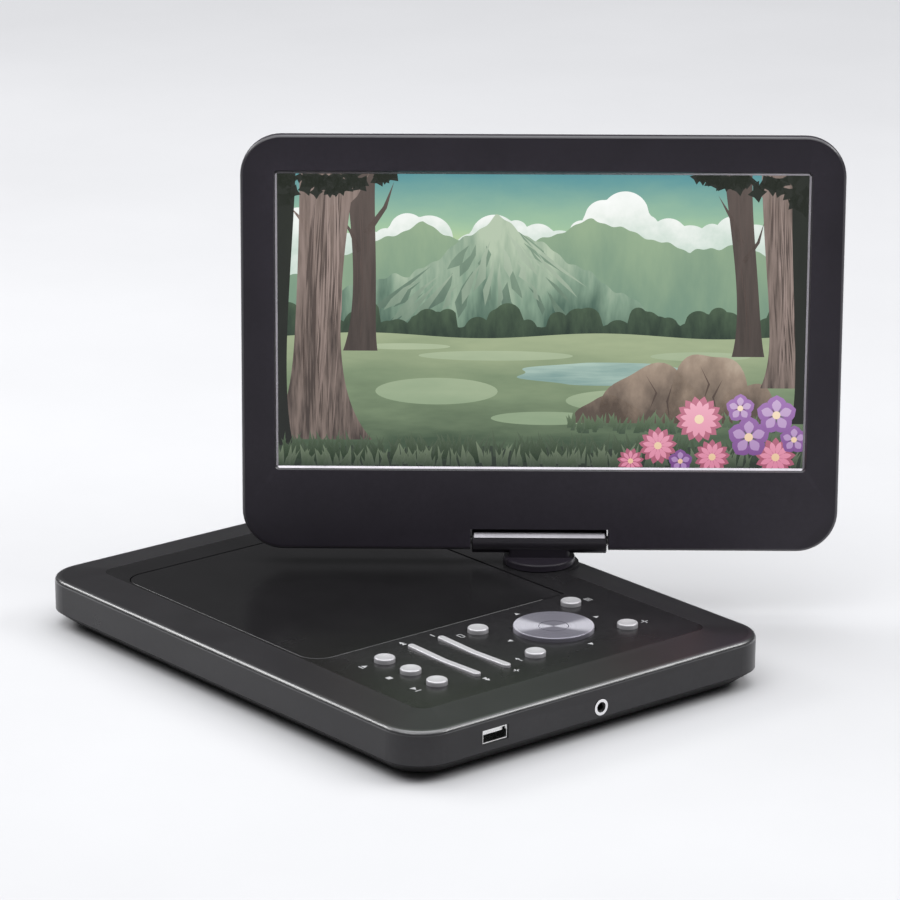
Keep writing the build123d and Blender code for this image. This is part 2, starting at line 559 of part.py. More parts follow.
def pickup_carriage():
    """Optical pickup body on its rods, hollowed round the spindle motor, with a rack on one side."""
    y = LENS_Y
    body = block(ROD_X[0] - 4.0, ROD_X[1] + 3.0, y - 13, y + 13, 5.2, 12.0)
    body += rod(5.6, 11.5, 13.2, DISC_X, y)
    body -= rod(SPINDLE_MOTOR_R + 2.4, 0, 30, DISC_X, DISC_Y)
    body -= rod(LENS_FRAME_R + 0.3, 9.0, 14.0, DISC_X, y)
    body += block(ROD_X[1] + 2.0, RACK_X + 0.6, y - 13, y + 13, RACK_LOW, RACK_HIGH)
    body += block(RACK_X, RACK_PITCH_X - DEDENDUM, y - 20.5, y + 20.5, RACK_LOW, RACK_HIGH)
    body += rack_teeth(y)
    for x in ROD_X:
        body -= rod_y(ROD_R + RUN, y - 30, y + 30, x, ROD_Z)
    return body


def rack_teeth(middle):
    """Straight-sided teeth with sloping flanks, one of them centred where the pinion meets it."""
    pitch = math.pi * GEAR_MODULE
    slope = math.tan(math.radians(PRESSURE_ANGLE))
    root_x = RACK_PITCH_X - DEDENDUM
    tip_x = RACK_PITCH_X + ADDENDUM
    half = pitch / 4 - BACKLASH / 2
    teeth = None
    first = math.ceil((middle - 20.0 - PINION_Y) / pitch)
    last = math.floor((middle + 20.0 - PINION_Y) / pitch)
    for n in range(first, last + 1):
        y = PINION_Y + n * pitch
        wide = half + (RACK_PITCH_X - root_x) * slope
        narrow = half - (tip_x - RACK_PITCH_X) * slope
        outline = Polygon((root_x - 0.2, y - wide), (root_x, y - wide), (tip_x, y - narrow),
                          (tip_x, y + narrow), (root_x, y + wide), (root_x - 0.2, y + wide), align=None)
        tooth = extrude(Pos(0, 0, RACK_LOW) * outline, RACK_HIGH - RACK_LOW)
        teeth = tooth if teeth is None else teeth + tooth
    return teeth


def involute(base_r, radius):
    """The angle an involute has turned through when it reaches a radius."""
    roll = math.sqrt(max((radius / base_r) ** 2 - 1, 0.0))
    return roll - math.atan(roll)


def sled_pinion():
    """Involute pinion on the sled motor's shaft, in mesh with the rack."""
    base_r = PINION_R * math.cos(math.radians(PRESSURE_ANGLE))
    tip_r = PINION_R + ADDENDUM
    root_r = PINION_R - DEDENDUM
    half_tooth = (math.pi / 2 - BACKLASH / GEAR_MODULE) / PINION_TEETH
    step = 2 * math.pi / PINION_TEETH
    radii = [base_r + (tip_r - base_r) * k / 5 for k in range(6)]
    points = []
    for n in range(PINION_TEETH):
        # a gap faces the rack, where one of the rack's teeth stands
        middle = math.pi + (n + 0.5) * step
        flank = [half_tooth + involute(base_r, PINION_R) - involute(base_r, r) for r in radii]
        points.append((root_r, middle - flank[0]))
        points += [(r, middle - a) for r, a in zip(radii, flank)]
        points += [(r, middle + a) for r, a in reversed(list(zip(radii, flank)))]
        points.append((root_r, middle + flank[0]))
    outline = Polygon(*[(r * math.cos(a), r * math.sin(a)) for r, a in points], align=None)
    low, high = RACK_LOW + 0.2, RACK_HIGH - 0.2
    gear = extrude(Pos(PINION_X, PINION_Y, low) * outline, high - low)
    return gear + rod(MOTOR_SHAFT_R, 5.2, CHASSIS_TOP_Z, PINION_X, PINION_Y)


def sled_motor():
    """Small motor under the pinion, with its shaft bore."""
    can = rod(4.6, 3.8, 7.2, PINION_X, PINION_Y)
    return can - rod(MOTOR_SHAFT_R + RUN, 5.0, 8, PINION_X, PINION_Y)


def lens_holder():
    """Moving lens frame of the pickup, which rises and falls to focus."""
    return tube(LENS_FRAME_R, 2.05, 11.0, 16.0, DISC_X, LENS_Y)


def pickup_lens():
    """The objective lens, held in its frame."""
    top = 15.6
    lens = rod(2.0, top - 1.0, top, DISC_X, LENS_Y)
    return fillet(edges_at(lens, top), 0.6)


# ---------------------------------------------------------------- disc door and its catch
def disc_door():
    """Flat door over the disc well. Its rear edge is round about the pins."""
    x0, x1 = DOOR_X - DOOR_W / 2, DOOR_X + DOOR_W / 2
    door = plate(DOOR_W, DOOR_D, DOOR_R, TOP_Z - DOOR_T, TOP_Z, DOOR_X, DOOR_Y)
    door = fillet(edges_at(door, TOP_Z), 0.5)
    square = DOOR_AXIS_Y - DOOR_R - 0.5
    door -= block(x0 - 1, x1 + 1, square, DOOR_Y + DOOR_D / 2 + 1, 0, 40)
    door += block(x0, x1, square, DOOR_AXIS_Y, TOP_Z - DOOR_T, TOP_Z)
    door += rod_x(HINGE_EDGE_R, x0, x1, DOOR_AXIS_Y, DOOR_AXIS_Z)
    for x in (x0, x1):
        door -= rod_x(DOOR_PIN_R, x - 6, x + 6, DOOR_AXIS_Y, DOOR_AXIS_Z)
    # a ring below holds the disc down on its hub
    door += tube(12.0, 10.5, TOP_Z - DOOR_T - 0.6, TOP_Z - DOOR_T, DISC_X, DISC_Y)
    return door - block(CATCH_X - 0.5, CATCH_X + 1.3, CATCH_Y - 3.1, CATCH_Y + 3.1, 0, TOP_Z - 1.2)


def door_pins():
    """Two short steel pins at the ends of the door's rear edge."""
    x0, x1 = DOOR_X - DOOR_W / 2, DOOR_X + DOOR_W / 2
    out = DOOR_PIN_OUT - 0.2
    return together(rod_x(DOOR_PIN_R, x0 - out, x0 + 6, DOOR_AXIS_Y, DOOR_AXIS_Z),
                    rod_x(DOOR_PIN_R, x1 - 6, x1 + out, DOOR_AXIS_Y, DOOR_AXIS_Z))


def door_spring():
    """Leaf spring on the ledge, pressed flat by the shut door, which it lifts when the catch lets go."""
    x, y = DOOR_X - DOOR_W / 2 + 5.0, DOOR_AXIS_Y - 9.0
    leaf = block(x, x + 18.0, y, y + 7.0, SEAT_Z + 0.05, SEAT_Z + 0.3)
    return leaf - block(x + 5.0, x + 16.5, y + 2.0, y + 5.0, 0, 40)


def door_catch():
    """Springy hook let into the door's underside. Its toe lies under the latch slider's cross bar."""
    low, y0, y1 = LATCH_Z - 2.2, CATCH_Y - 3, CATCH_Y + 3
    stem = block(CATCH_X - 0.4, CATCH_X + CATCH_T, y0, y1, low, TOP_Z - 1.25)
    toe = block(CATCH_X - CATCH_TOE, CATCH_X + CATCH_T, y0, y1, low, LATCH_Z - 0.4)
    return stem + toe


def latch_slider():
    """Sliding bar with a window for the hook. The open key's wedge pushes it off the hook's toe."""
    low, high = LATCH_Z, LATCH_Z + LATCH_T
    tip = OPEN_KEY_PLACE[0] - 1.2
    toe = CATCH_X - CATCH_TOE
    window = CATCH_X + CATCH_T + OPEN_KEY_TRAVEL + 0.3
    frame = block(toe - 1.6, window + 1.2, CATCH_Y - 5, CATCH_Y + 5, low, high)
    frame -= block(toe + CATCH_BITE, window, CATCH_Y - 3.6, CATCH_Y + 3.6, 0, 40)
    bar = block(window, tip, CATCH_Y - 2, CATCH_Y + 2, low, high)
    tab = block(CATCH_X + SPRING_TO + 0.1, CATCH_X + SPRING_TO + 1.3, SPRING_Y - 1.4, CATCH_Y - 1, low, high)
    side = Polygon((tip, low), (tip + 1, low), (tip + 1, high), (tip - LATCH_T, high), align=None)
    face = Pos(0, CATCH_Y + 3, 0) * Rot(90, 0, 0) * extrude(side, 6)
    return frame + bar + tab - face


def latch_spring():
    """Coil spring that keeps the latch slider over the hook."""
    path = Helix(pitch=1.5, height=SPRING_TO - SPRING_FROM - 0.4, radius=1.0)
    wire = sweep(Plane(path @ 0, z_dir=path % 0) * Circle(0.2), path, is_frenet=True)
    return Pos(CATCH_X + SPRING_FROM + 0.2, SPRING_Y, LATCH_Z + LATCH_T / 2) * Rot(0, 90, 0) * wire


# ---------------------------------------------------------------- keys
def round_key(place, stem_low):
    """A round metallised key: dished cap, flange under the case, and a stem down to its switch."""
    x, y = place
    top = TOP_Z + KEY_STAND
    cap = rod(KEY_R, FLANGE_Z, top, x, y)
    cap = fillet(edges_at(cap, top), KEY_EDGE)
    cap -= Pos(x, y, top - KEY_DISH + KEY_DISH_R) * Sphere(KEY_DISH_R)
    cap += rod(KEY_R + 1.1, FLANGE_Z, FLANGE_Z + 0.9, x, y)
    return cap + rod(KEY_STEM_R, stem_low, FLANGE_Z + 0.2, x, y)


def plain_key(place):
    """A round key over a dome switch."""
    return round_key(place, DOME_TOP_Z + KEY_TRAVEL + 0.1)


def open_key():
    """The round key that releases the disc door, with the wedge that moves the latch slider."""
    x, y = OPEN_KEY_PLACE
    key = round_key(OPEN_KEY_PLACE, FLANGE_Z - 0.2)
    # the wedge's face is parallel to the slider's, with a small gap
    face = x - 1.2 + LATCH_Z + 0.3
    low, high = LATCH_Z + 0.2, FLANGE_Z + 0.2
    side = Polygon((face - high, high), (x + 1.4, high), (x + 1.4, low), (face - low, low), align=None)
    return key + Pos(0, y + 1.8, 0) * Rot(90, 0, 0) * extrude(side, 3.6)


def nav_dish():
    """The shallow bowl cut from the tops of the pad's ring and centre key."""
    return Pos(NAV_X, NAV_Y, TOP_Z + NAV_STAND - NAV_DISH + NAV_DISH_R) * Sphere(NAV_DISH_R)


def nav_ring():
    """Bright dished ring of the four-way pad, with a keeping flange."""
    top = TOP_Z + NAV_STAND
    ring = rod(NAV_R, FLANGE_Z - 0.1, top, NAV_X, NAV_Y)
    ring = fillet(edges_at(ring, top), 0.6)
    ring -= nav_dish()
    ring += rod(NAV_R + 1.8, FLANGE_Z - 0.4, FLANGE_Z + 0.4, NAV_X, NAV_Y)
    return ring - rod(OK_R + 0.35, 0, 40, NAV_X, NAV_Y)


def nav_carrier():
    """Plastic plate under the ring, with a plunger over each of its four domes."""
    disc = rod(15.5, DOME_TOP_Z + 1.1, DOME_TOP_Z + 1.9, NAV_X, NAV_Y)
    for x, y in round_about(NAV_X, NAV_Y, NAV_DOME_R, 4):
        disc += rod(1.3, DOME_TOP_Z + 0.6, DOME_TOP_Z + 1.5, x, y)
    return disc - rod(OK_R + 0.9, 0, 40, NAV_X, NAV_Y)


def ok_key():
    """Centre key of the pad, level with the ring's bowl."""
    key = rod(OK_R, FLANGE_Z, TOP_Z + NAV_STAND, NAV_X, NAV_Y) - nav_dish()
    return key + rod(KEY_STEM_R, DOME_TOP_Z + KEY_TRAVEL + 0.1, FLANGE_Z + 0.2, NAV_X, NAV_Y)


def rocker_key(y):
    """A long slim key that rocks about its middle, with two faces that slope down to the middle."""
    low, half = KEY_BOARD_Z, ROCKER_L / 2
    rise = TOP_Z + ROCKER_STAND - low
    cap = plate(ROCKER_L, ROCKER_W, ROCKER_W / 2 - 0.01, FLANGE_Z, low + rise, KEYPAD_X, y)
    profile = Polygon((-half, 0), (half, 0), (half, rise), (0, rise - ROCKER_DIP), (-half, rise), align=None)
    cap &= Pos(KEYPAD_X, y + ROCKER_W, low) * Rot(90, 0, 0) * extrude(profile, 2 * ROCKER_W)
    # every top edge but the valley across the middle is rounded
    top_edges = cap.edges().filter_by(lambda e: e.bounding_box().min.Z > TOP_Z + 0.3)
    valley = top_edges.filter_by(lambda e: abs(e.center().X - KEYPAD_X) < 0.01 and e.length < ROCKER_W + 0.1)
    cap = fillet([e for e in top_edges if e not in valley], 0.5)
    cap += plate(ROCKER_L + 1.6, ROCKER_W + 1.8, ROCKER_W / 2 + 0.5, FLANGE_Z - 0.3, FLANGE_Z + 0.5,
                 KEYPAD_X, y)
    for side in (-1, 1):
        cap += rod(KEY_STEM_R, DOME_TOP_Z + 0.8, FLANGE_Z, KEYPAD_X + side * ROCKER_DOME_X, y)
    return cap


def volume_rocker():
    """The upper of the two rocker keys."""
    return rocker_key(ROCKER_YS[0])


def skip_rocker():
    """The lower of the two rocker keys."""
    return rocker_key(ROCKER_YS[1])


# ---------------------------------------------------------------- swivel, in the hinge's own frame
# These are made facing the front, with the swivel axis through the origin, then turned into place.
def swivelled(shape):
    """Turns a piece made about the origin to the swivel's rest angle, on its axis."""
    return Pos(0, SWIVEL_Y, 0) * Rot(0, 0, SWIVEL_REST_DEG) * shape


def hinge_plate():
    """Steel plate screwed under the case, with the collar the swivel shaft turns in."""
    body = block(-20, 20, -12, 12, PLATE_TOP_Z - PLATE_T, PLATE_TOP_Z - 0.05)
    body += rod(8.5, PLATE_TOP_Z - PLATE_T, PLATE_TOP_Z + 0.5)
    body -= rod(SWIVEL_SHAFT_R + RUN, 0, 40)
    for x in (-PLATE_HOLE_X, PLATE_HOLE_X):
        for y in (-PLATE_HOLE_Y, PLATE_HOLE_Y):
            body -= rod(1.25, 0, 40, x, y)
    return Pos(0, SWIVEL_Y, 0) * body


def hinge_washers():
    """Wave washer of the swivel, drawn flat, and a friction washer outside each of the yoke's ears."""
    low = PLATE_TOP_Z - PLATE_T - 0.85
    washers = [tube(8.0, SWIVEL_SHAFT_R + 0.1, low, low + 0.75)]
    for side in (-1, 1):
        x0, x1 = sorted((side * (EAR_X + EAR_T + 0.1), side * (EAR_X + EAR_T + 2.0)))
        ring = rod_x(3.7, x0, x1, 0, PIVOT_Z)
        washers.append(ring - rod_x(TILT_SHAFT_R + RUN, x0 - 1, x1 + 1, 0, PIVOT_Z))
    return swivelled(together(*washers))


def swivel_nut():
    """Nut on the swivel shaft's lower end, with the tab that stops the turn."""
    low, high = PLATE_TOP_Z - PLATE_T - 4.0, PLATE_TOP_Z - PLATE_T - 0.95
    nut = extrude(Pos(0, 0, low) * RegularPolygon(8.2, 6), high - low)
    return swivelled(nut - rod(SWIVEL_SHAFT_R, 0, 40))


def swivel_bracket():
    """Hollow steel shaft with a yoke on top, whose two ears carry the tilt shafts."""
    shaft = tube(SWIVEL_SHAFT_R, SWIVEL_BORE_R, PLATE_TOP_Z - PLATE_T - 5.0, TURRET_TOP_Z - 1.4)
    flange = tube(11.0, SWIVEL_BORE_R, TURRET_TOP_Z - 2.4, TURRET_TOP_Z - 1.2)
    reach = EAR_X + EAR_T
    bridge = block(-reach, reach, -3, 3, TURRET_TOP_Z - 2.0, TURRET_TOP_Z - 0.8)
    bridge -= rod(SWIVEL_BORE_R, 0, 40)
    body = shaft + flange + bridge
    for side in (-1, 1):
        x0, x1 = sorted((side * EAR_X, side * reach))
        body += block(x0, x1, -3, 3, TURRET_TOP_Z - 1.0, PIVOT_Z) + rod_x(3.6, x0, x1, 0, PIVOT_Z)
    body -= rod_x(TILT_SHAFT_R + RUN, -20, 20, 0, PIVOT_Z)
    return swivelled(body)


def turret_cover():
    """Round turret, neck and hinge barrel, moulded as one hollow cover over the yoke."""
    low = TOP_Z + TURRET_GAP
    base = rod(TURRET_R, low, TURRET_TOP_Z)
    base = fillet(edges_at(base, TURRET_TOP_Z), 1.0)
    neck = plate(NECK_W, NECK_D, 2.0, TURRET_TOP_Z - 1, PIVOT_Z)
    barrel = rod_x(BARREL_R, -BARREL_L / 2, BARREL_L / 2, 0, PIVOT_Z)
    barrel = fillet(barrel.edges().filter_by(GeomType.CIRCLE), 0.7)
    cover = base + neck + barrel
    cover -= rod(11.4, low - 1, TURRET_TOP_Z - 1.0)
    cover -= plate(NECK_W - 4.0, NECK_D - 2.8, 0.5, TURRET_TOP_Z - 2, PIVOT_Z)
    cover -= rod_x(BARREL_BORE_R, -BARREL_L / 2 + 1.8, BARREL_L / 2 - 1.8, 0, PIVOT_Z)
    cover -= rod_x(TILT_SHAFT_R + TILT_CLEARANCE, -BARREL_L, BARREL_L, 0, PIVOT_Z)
    # shallow bed for the bright strip
    return swivelled(cover - strip_block(0.1))


def strip_block(grow):
    """A block along the front of the barrel's skin, for the strip or, a little larger, for its bed."""
    half_l, half_w = STRIP_L / 2 + grow, STRIP_W / 2 + grow
    at_front = block(-half_l, half_l, -BARREL_R - 0.3, -BARREL_R + 0.6 + grow, -half_w, half_w)
    return Pos(0, 0, PIVOT_Z) * Rot(STRIP_TURN, 0, 0) * at_front


def hinge_strip():
    """Bright metal strip let into the hinge barrel."""
    return swivelled(strip_block(0.0))


# ---------------------------------------------------------------- screen, in its own frame
# Made upright and facing the front, with the tilt axis along X through the origin. Y is depth.
def placed(shape):
    """Leans a piece of the screen back and turns it with the swivel."""
    return swivelled(Pos(0, 0, PIVOT_Z) * Rot(-TILT_REST_DEG, 0, 0) * shape)


def wall_slab(width, height, radius, y0, y1, z_mid):
    """An upright slab with rounded corners, from depth y0 to depth y1."""
    outline = Pos(0, y1, z_mid) * Rot(90, 0, 0) * RectangleRounded(width, height, radius)
    return extrude(outline, y1 - y0)


def cover_body(inset, y0, y1, slope, foot):
    """A slab whose top and sides slope in from depth y0 to depth y1, while its foot rises by foot."""
    wide, tall, radius = LID_W - 2 * inset, LID_H - 2 * inset, CORNER_R - inset
    front = Pos(0, y0, LID_MID) * Rot(90, 0, 0) * RectangleRounded(wide, tall, radius)
    middle = LID_MID + (foot - slope) / 2
    shrunk = RectangleRounded(wide - 2 * slope, tall - slope - foot, radius - slope / 2)
    back = Pos(0, y1, middle) * Rot(90, 0, 0) * shrunk
    return loft([front, back], ruled=True)


def hinge_notch():
    """The gap in the screen's lower edge that clears the hinge barrel and its neck."""
    return block(-NOTCH_HALF, NOTCH_HALF, -LID_T, LID_T, LID_LOW - 5, NOTCH_TOP)


def notch_walls(y0, y1):
    """A block round the notch, from depth y0 to depth y1, to leave walls when the notch is cut."""
    return block(-NOTCH_HALF - WALL, NOTCH_HALF + WALL, y0, y1, LID_LOW + 0.5, NOTCH_TOP + WALL)


def screen_bezel():
    """Front frame of the screen: wide lower border, bevelled picture opening, and a hinge notch."""
    outer = wall_slab(LID_W, LID_H, CORNER_R, FRONT_Y, LID_PARTING, LID_MID)
    outer = fillet(edges_at_depth(outer, FRONT_Y), FRONT_ROUND)
    frame = outer - wall_slab(LID_W - 2 * WALL, LID_H - 2 * WALL, CORNER_R - WALL,
                              FRONT_Y + WALL, LID_PARTING + 1, LID_MID)
    frame += notch_walls(FRONT_Y + 1, LID_PARTING)
    frame -= hinge_notch()
    frame -= rod_x(TILT_SHAFT_R + TILT_CLEARANCE, -BARREL_L, BARREL_L)
    # picture opening, bevelled all round
    narrow = RectangleRounded(VIEW_W, VIEW_H, 0.8)
    wide = RectangleRounded(VIEW_W + 2 * BEVEL, VIEW_H + 2 * BEVEL, 2.0)
    sections = ((FRONT_Y + WALL, narrow), (FRONT_Y, wide))
    frame -= loft([Pos(0, y, VIEW_MID) * Rot(90, 0, 0) * section for y, section in sections], ruled=True)
    frame -= wall_slab(VIEW_W, VIEW_H, 0.8, FRONT_Y + 0.5, 0, VIEW_MID)
    for x, z in LID_SCREWS:
        post = rod_y(3.0, FRONT_Y + 1, LID_PARTING - 0.1, x, z) - rod_y(1.1, FRONT_Y + 2.6, 5, x, z)
        frame += post
    return placed(frame)


def screen_rear_cover():
    """Rear shell of the screen, sloping in behind, with a panel groove, vents and screw pockets."""
    front = LID_PARTING + COVER_GAP
    outer = cover_body(0.0, front, BACK_Y, COVER_SLOPE, 0.0)
    outer = fillet(edges_at_depth(outer, BACK_Y), BACK_ROUND)
    cover = outer - cover_body(COVER_WALL, front - 0.01, BACK_Y - WALL, COVER_SLOPE - 2.0, 0.6)
    groove = wall_slab(LID_W - 44, LID_H - 50, 12, BACK_Y - 0.5, BACK_Y + 1, LID_MID + 6)
    groove -= wall_slab(LID_W - 46, LID_H - 52, 11, BACK_Y - 2, BACK_Y + 2, LID_MID + 6)
    cover -= groove
    cover += notch_walls(front, BACK_Y - 1)
    cover -= hinge_notch()
    cover -= rod_x(TILT_SHAFT_R + TILT_CLEARANCE, -BARREL_L, BARREL_L)
    for i in range(12):
        for side in (-1, 1):
            cover -= Pos(side * (24 + 6 * i), BACK_Y, 28) * Box(2.4, 6, 14)
    for x, z in LID_SCREWS:
        cover += rod_y(BOSS_R, front, BACK_Y - 1, x, z)
        cover -= rod_y(SCREW_HEAD_R, BACK_Y - 2.6, BACK_Y + 3, x, z)
        cover -= rod_y(SCREW_R + 0.1, -5, BACK_Y + 3, x, z)
    return placed(cover)


def lid_screws():
    """The six screws in the screen's rear cover."""
    screws = []
    for x, z in LID_SCREWS:
        screw = pan_head_screw(0, 0, 0.0, 8.6, shank=1.05, head=2.3)
        screws.append(Pos(x, BACK_Y - 0.75, z) * Rot(90, 0, 0) * screw)
    return placed(together(*screws))


def display_glass():
    """Front polariser of the display, set back behind the bezel."""
    y = FRONT_Y + GLASS_SET_BACK
    return placed(wall_slab(VIEW_W + 5, VIEW_H + 5, 1.5, y, y + GLASS_T, VIEW_MID))


def display_panel():
    """Liquid crystal module with its light guide in a pressed tray."""
    y = FRONT_Y + GLASS_SET_BACK + GLASS_T + 0.05
    return placed(wall_slab(VIEW_W + 7, VIEW_H + 6, 1.5, y, y + 4.2, VIEW_MID))


def display_board():
    """Driver board behind the display, with its connector."""
    board = block(-45, 45, 1.7, 2.8, 40, 78)
    board += block(-12, 12, 1.2, 1.8, 44, 50)
    board += block(10, 22, 2.7, 4.0, 58, 70)
    return placed(board)


def tilt_arms():
    """Two tilt shafts, each forged in one with the plate that screws into the screen."""
    arms = []
    for side in (-1, 1):
        x0, x1 = sorted((side * (EAR_X - 1.0), side * (ARM_X + 1.2)))
        arm = rod_x(TILT_SHAFT_R, x0, x1)
        root = sorted((side * ARM_X, side * (ARM_X + ARM_T)))
        arm += block(*root, -2.4, 0.9, 0.0, 9.0)
        arm += block(*root, 0.8, 3.9, 2.2, 9.0)
        arm += block(*sorted((side * ARM_X, side * (ARM_X + 16))), 3.9 - ARM_T, 3.9, 4.0, 28.0)
        arms.append(arm - rod_y(BOSS_R + 0.3, -9, 9, side * ARM_SCREW_X, ARM_SCREW_Z))
    return placed(together(*arms))


# ---------------------------------------------------------------- export
PIECES = [
    base_top_case, base_bottom_case, rubber_feet, base_screws, main_board, board_parts, keypad_board,
    dome_switches, battery_pack, speakers, usb_port, headphone_jack, headphone_ring, left_sockets,
    card_slot, power_switch, loader_chassis, loader_dampers,
    spindle_motor, spindle_hub, hub_balls, sled_rods, pickup_carriage, lens_holder, pickup_lens,
    sled_pinion, sled_motor, disc_door, door_pins, door_spring, door_catch, latch_slider, latch_spring,
    open_key, nav_ring, nav_carrier, ok_key, volume_rocker, skip_rocker, hinge_plate, hinge_washers,
    swivel_nut, swivel_bracket, turret_cover, hinge_strip, screen_bezel, screen_rear_cover, lid_screws,
    display_glass, display_panel, display_board, tilt_arms,
]

os.makedirs("parts", exist_ok=True)
for piece in PIECES:
    export_step(piece(), f"parts/{piece.__name__}.step")
for name, spot in KEY_PLACES.items():
    export_step(plain_key(spot), f"parts/{name}.step")
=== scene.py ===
"""Looks for the portable disc player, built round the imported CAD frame.

Blender's objects are in metres, in the CAD frame. Places on the player are worked out in millimetres.
"""

import itertools
import json
import math
import random

import bmesh
import bpy
from mathutils import Matrix, Vector


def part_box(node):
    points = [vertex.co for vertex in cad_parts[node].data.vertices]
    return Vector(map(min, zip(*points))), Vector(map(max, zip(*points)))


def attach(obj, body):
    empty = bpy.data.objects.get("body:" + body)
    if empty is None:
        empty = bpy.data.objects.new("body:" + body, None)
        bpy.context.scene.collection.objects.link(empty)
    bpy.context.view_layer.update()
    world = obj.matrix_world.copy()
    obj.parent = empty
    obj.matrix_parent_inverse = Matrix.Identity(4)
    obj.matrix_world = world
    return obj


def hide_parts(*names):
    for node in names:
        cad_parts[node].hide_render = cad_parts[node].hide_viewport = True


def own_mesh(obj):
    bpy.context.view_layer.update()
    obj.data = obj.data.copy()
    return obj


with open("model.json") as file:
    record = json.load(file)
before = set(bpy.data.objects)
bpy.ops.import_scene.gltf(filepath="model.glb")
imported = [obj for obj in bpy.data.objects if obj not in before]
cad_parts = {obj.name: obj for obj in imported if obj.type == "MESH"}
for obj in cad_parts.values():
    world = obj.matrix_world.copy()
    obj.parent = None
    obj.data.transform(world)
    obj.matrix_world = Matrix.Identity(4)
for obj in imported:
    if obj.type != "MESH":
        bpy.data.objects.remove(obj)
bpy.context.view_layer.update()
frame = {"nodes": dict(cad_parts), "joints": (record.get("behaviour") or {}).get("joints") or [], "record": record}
NODES = frame["nodes"]
JOINTS = {joint["name"]: joint for joint in frame["joints"]}
MM = 0.001
random.seed(11)


# ---------------------------------------------------------------- the CAD's places, in millimetres
def in_mm(metres):
    return tuple(round(c / MM, 3) for c in metres)


def node_box(node):
    """The lowest and the highest corner of a node at rest."""
    return [in_mm(corner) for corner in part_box(node)]


def middle(node):
    """The place of a node's centre, seen from above."""
    low, high = node_box(node)
    return tuple(round((low[k] + high[k]) / 2, 1) for k in range(2))


PIVOT = in_mm(JOINTS["screen_tilt"]["pos_m"])  # where the swivel and tilt axes meet
TILT_AXIS = JOINTS["screen_tilt"]["axis"]
SWIVEL_REST = round(math.degrees(math.atan2(TILT_AXIS[1], TILT_AXIS[0])), 3)
TILT_REST = 5.0  # how far the screen leans back, in degrees
ON_BASE = Matrix.Scale(MM, 4)
ON_SCREEN = (ON_BASE @ Matrix.Translation(PIVOT) @ Matrix.Rotation(math.radians(SWIVEL_REST), 4, "Z")
             @ Matrix.Rotation(math.radians(-TILT_REST), 4, "X"))  # from the screen's upright frame


def screen_box(node):
    """The lowest and the highest corner of a node in the screen's upright frame."""
    to_screen = ON_SCREEN.inverted()
    points = [to_screen @ vertex.co for vertex in NODES[node].data.vertices]
    return [[round(pick(point[k] for point in points), 2) for k in range(3)] for pick in (min, max)]


TOP_Z = node_box("disc_door")[1][2]  # the door lies flush with the base's top
RIM_LOW, RIM_HIGH = TOP_Z - 3.9, TOP_Z - 1.7  # the rounded edge between the base's wall and its border
NAV = middle("nav_ring")
PAINTED_HIGHLIGHT_AZ = 51.0  # the direction in which the pad's painted highlight fans out, in degrees
GLASS_LOW, GLASS_HIGH = screen_box("display_glass")
GLASS_LAP = 2.5  # how far the glass reaches behind the bezel, past the picture opening
GLASS_Y = GLASS_LOW[1]  # the front of the glass
VIEW_W = GLASS_HIGH[0] - GLASS_LOW[0] - 2 * GLASS_LAP
VIEW_H = round(GLASS_HIGH[2] - GLASS_LOW[2], 2) - 2 * GLASS_LAP
VIEW_LOW = GLASS_LOW[2] + GLASS_LAP
HALF_VIEW = VIEW_W / 2
FRONT_Y = screen_box("screen_bezel")[0][1]
EDGE_ROUND = 1.6  # radius of the screen's front edge


# ---------------------------------------------------------------- materials
NOISE_LOW, NOISE_HIGH = 0.3, 0.7  # most of a noise's values lie between these
MOTTLE_SCALE, SMEAR_SCALE, RUB_SCALE = 38.0, 16.0, 420.0  # of patchy colour, patchy gloss and wear
BLUNT, SHARP = 0.515, 0.60  # pointiness where an edge starts to look rubbed, and where it fully does
RUB_PALER = 4.0  # how much paler a rubbed edge is


def shade(colour, factor):
    return tuple(min(1.0, c * factor) for c in colour)


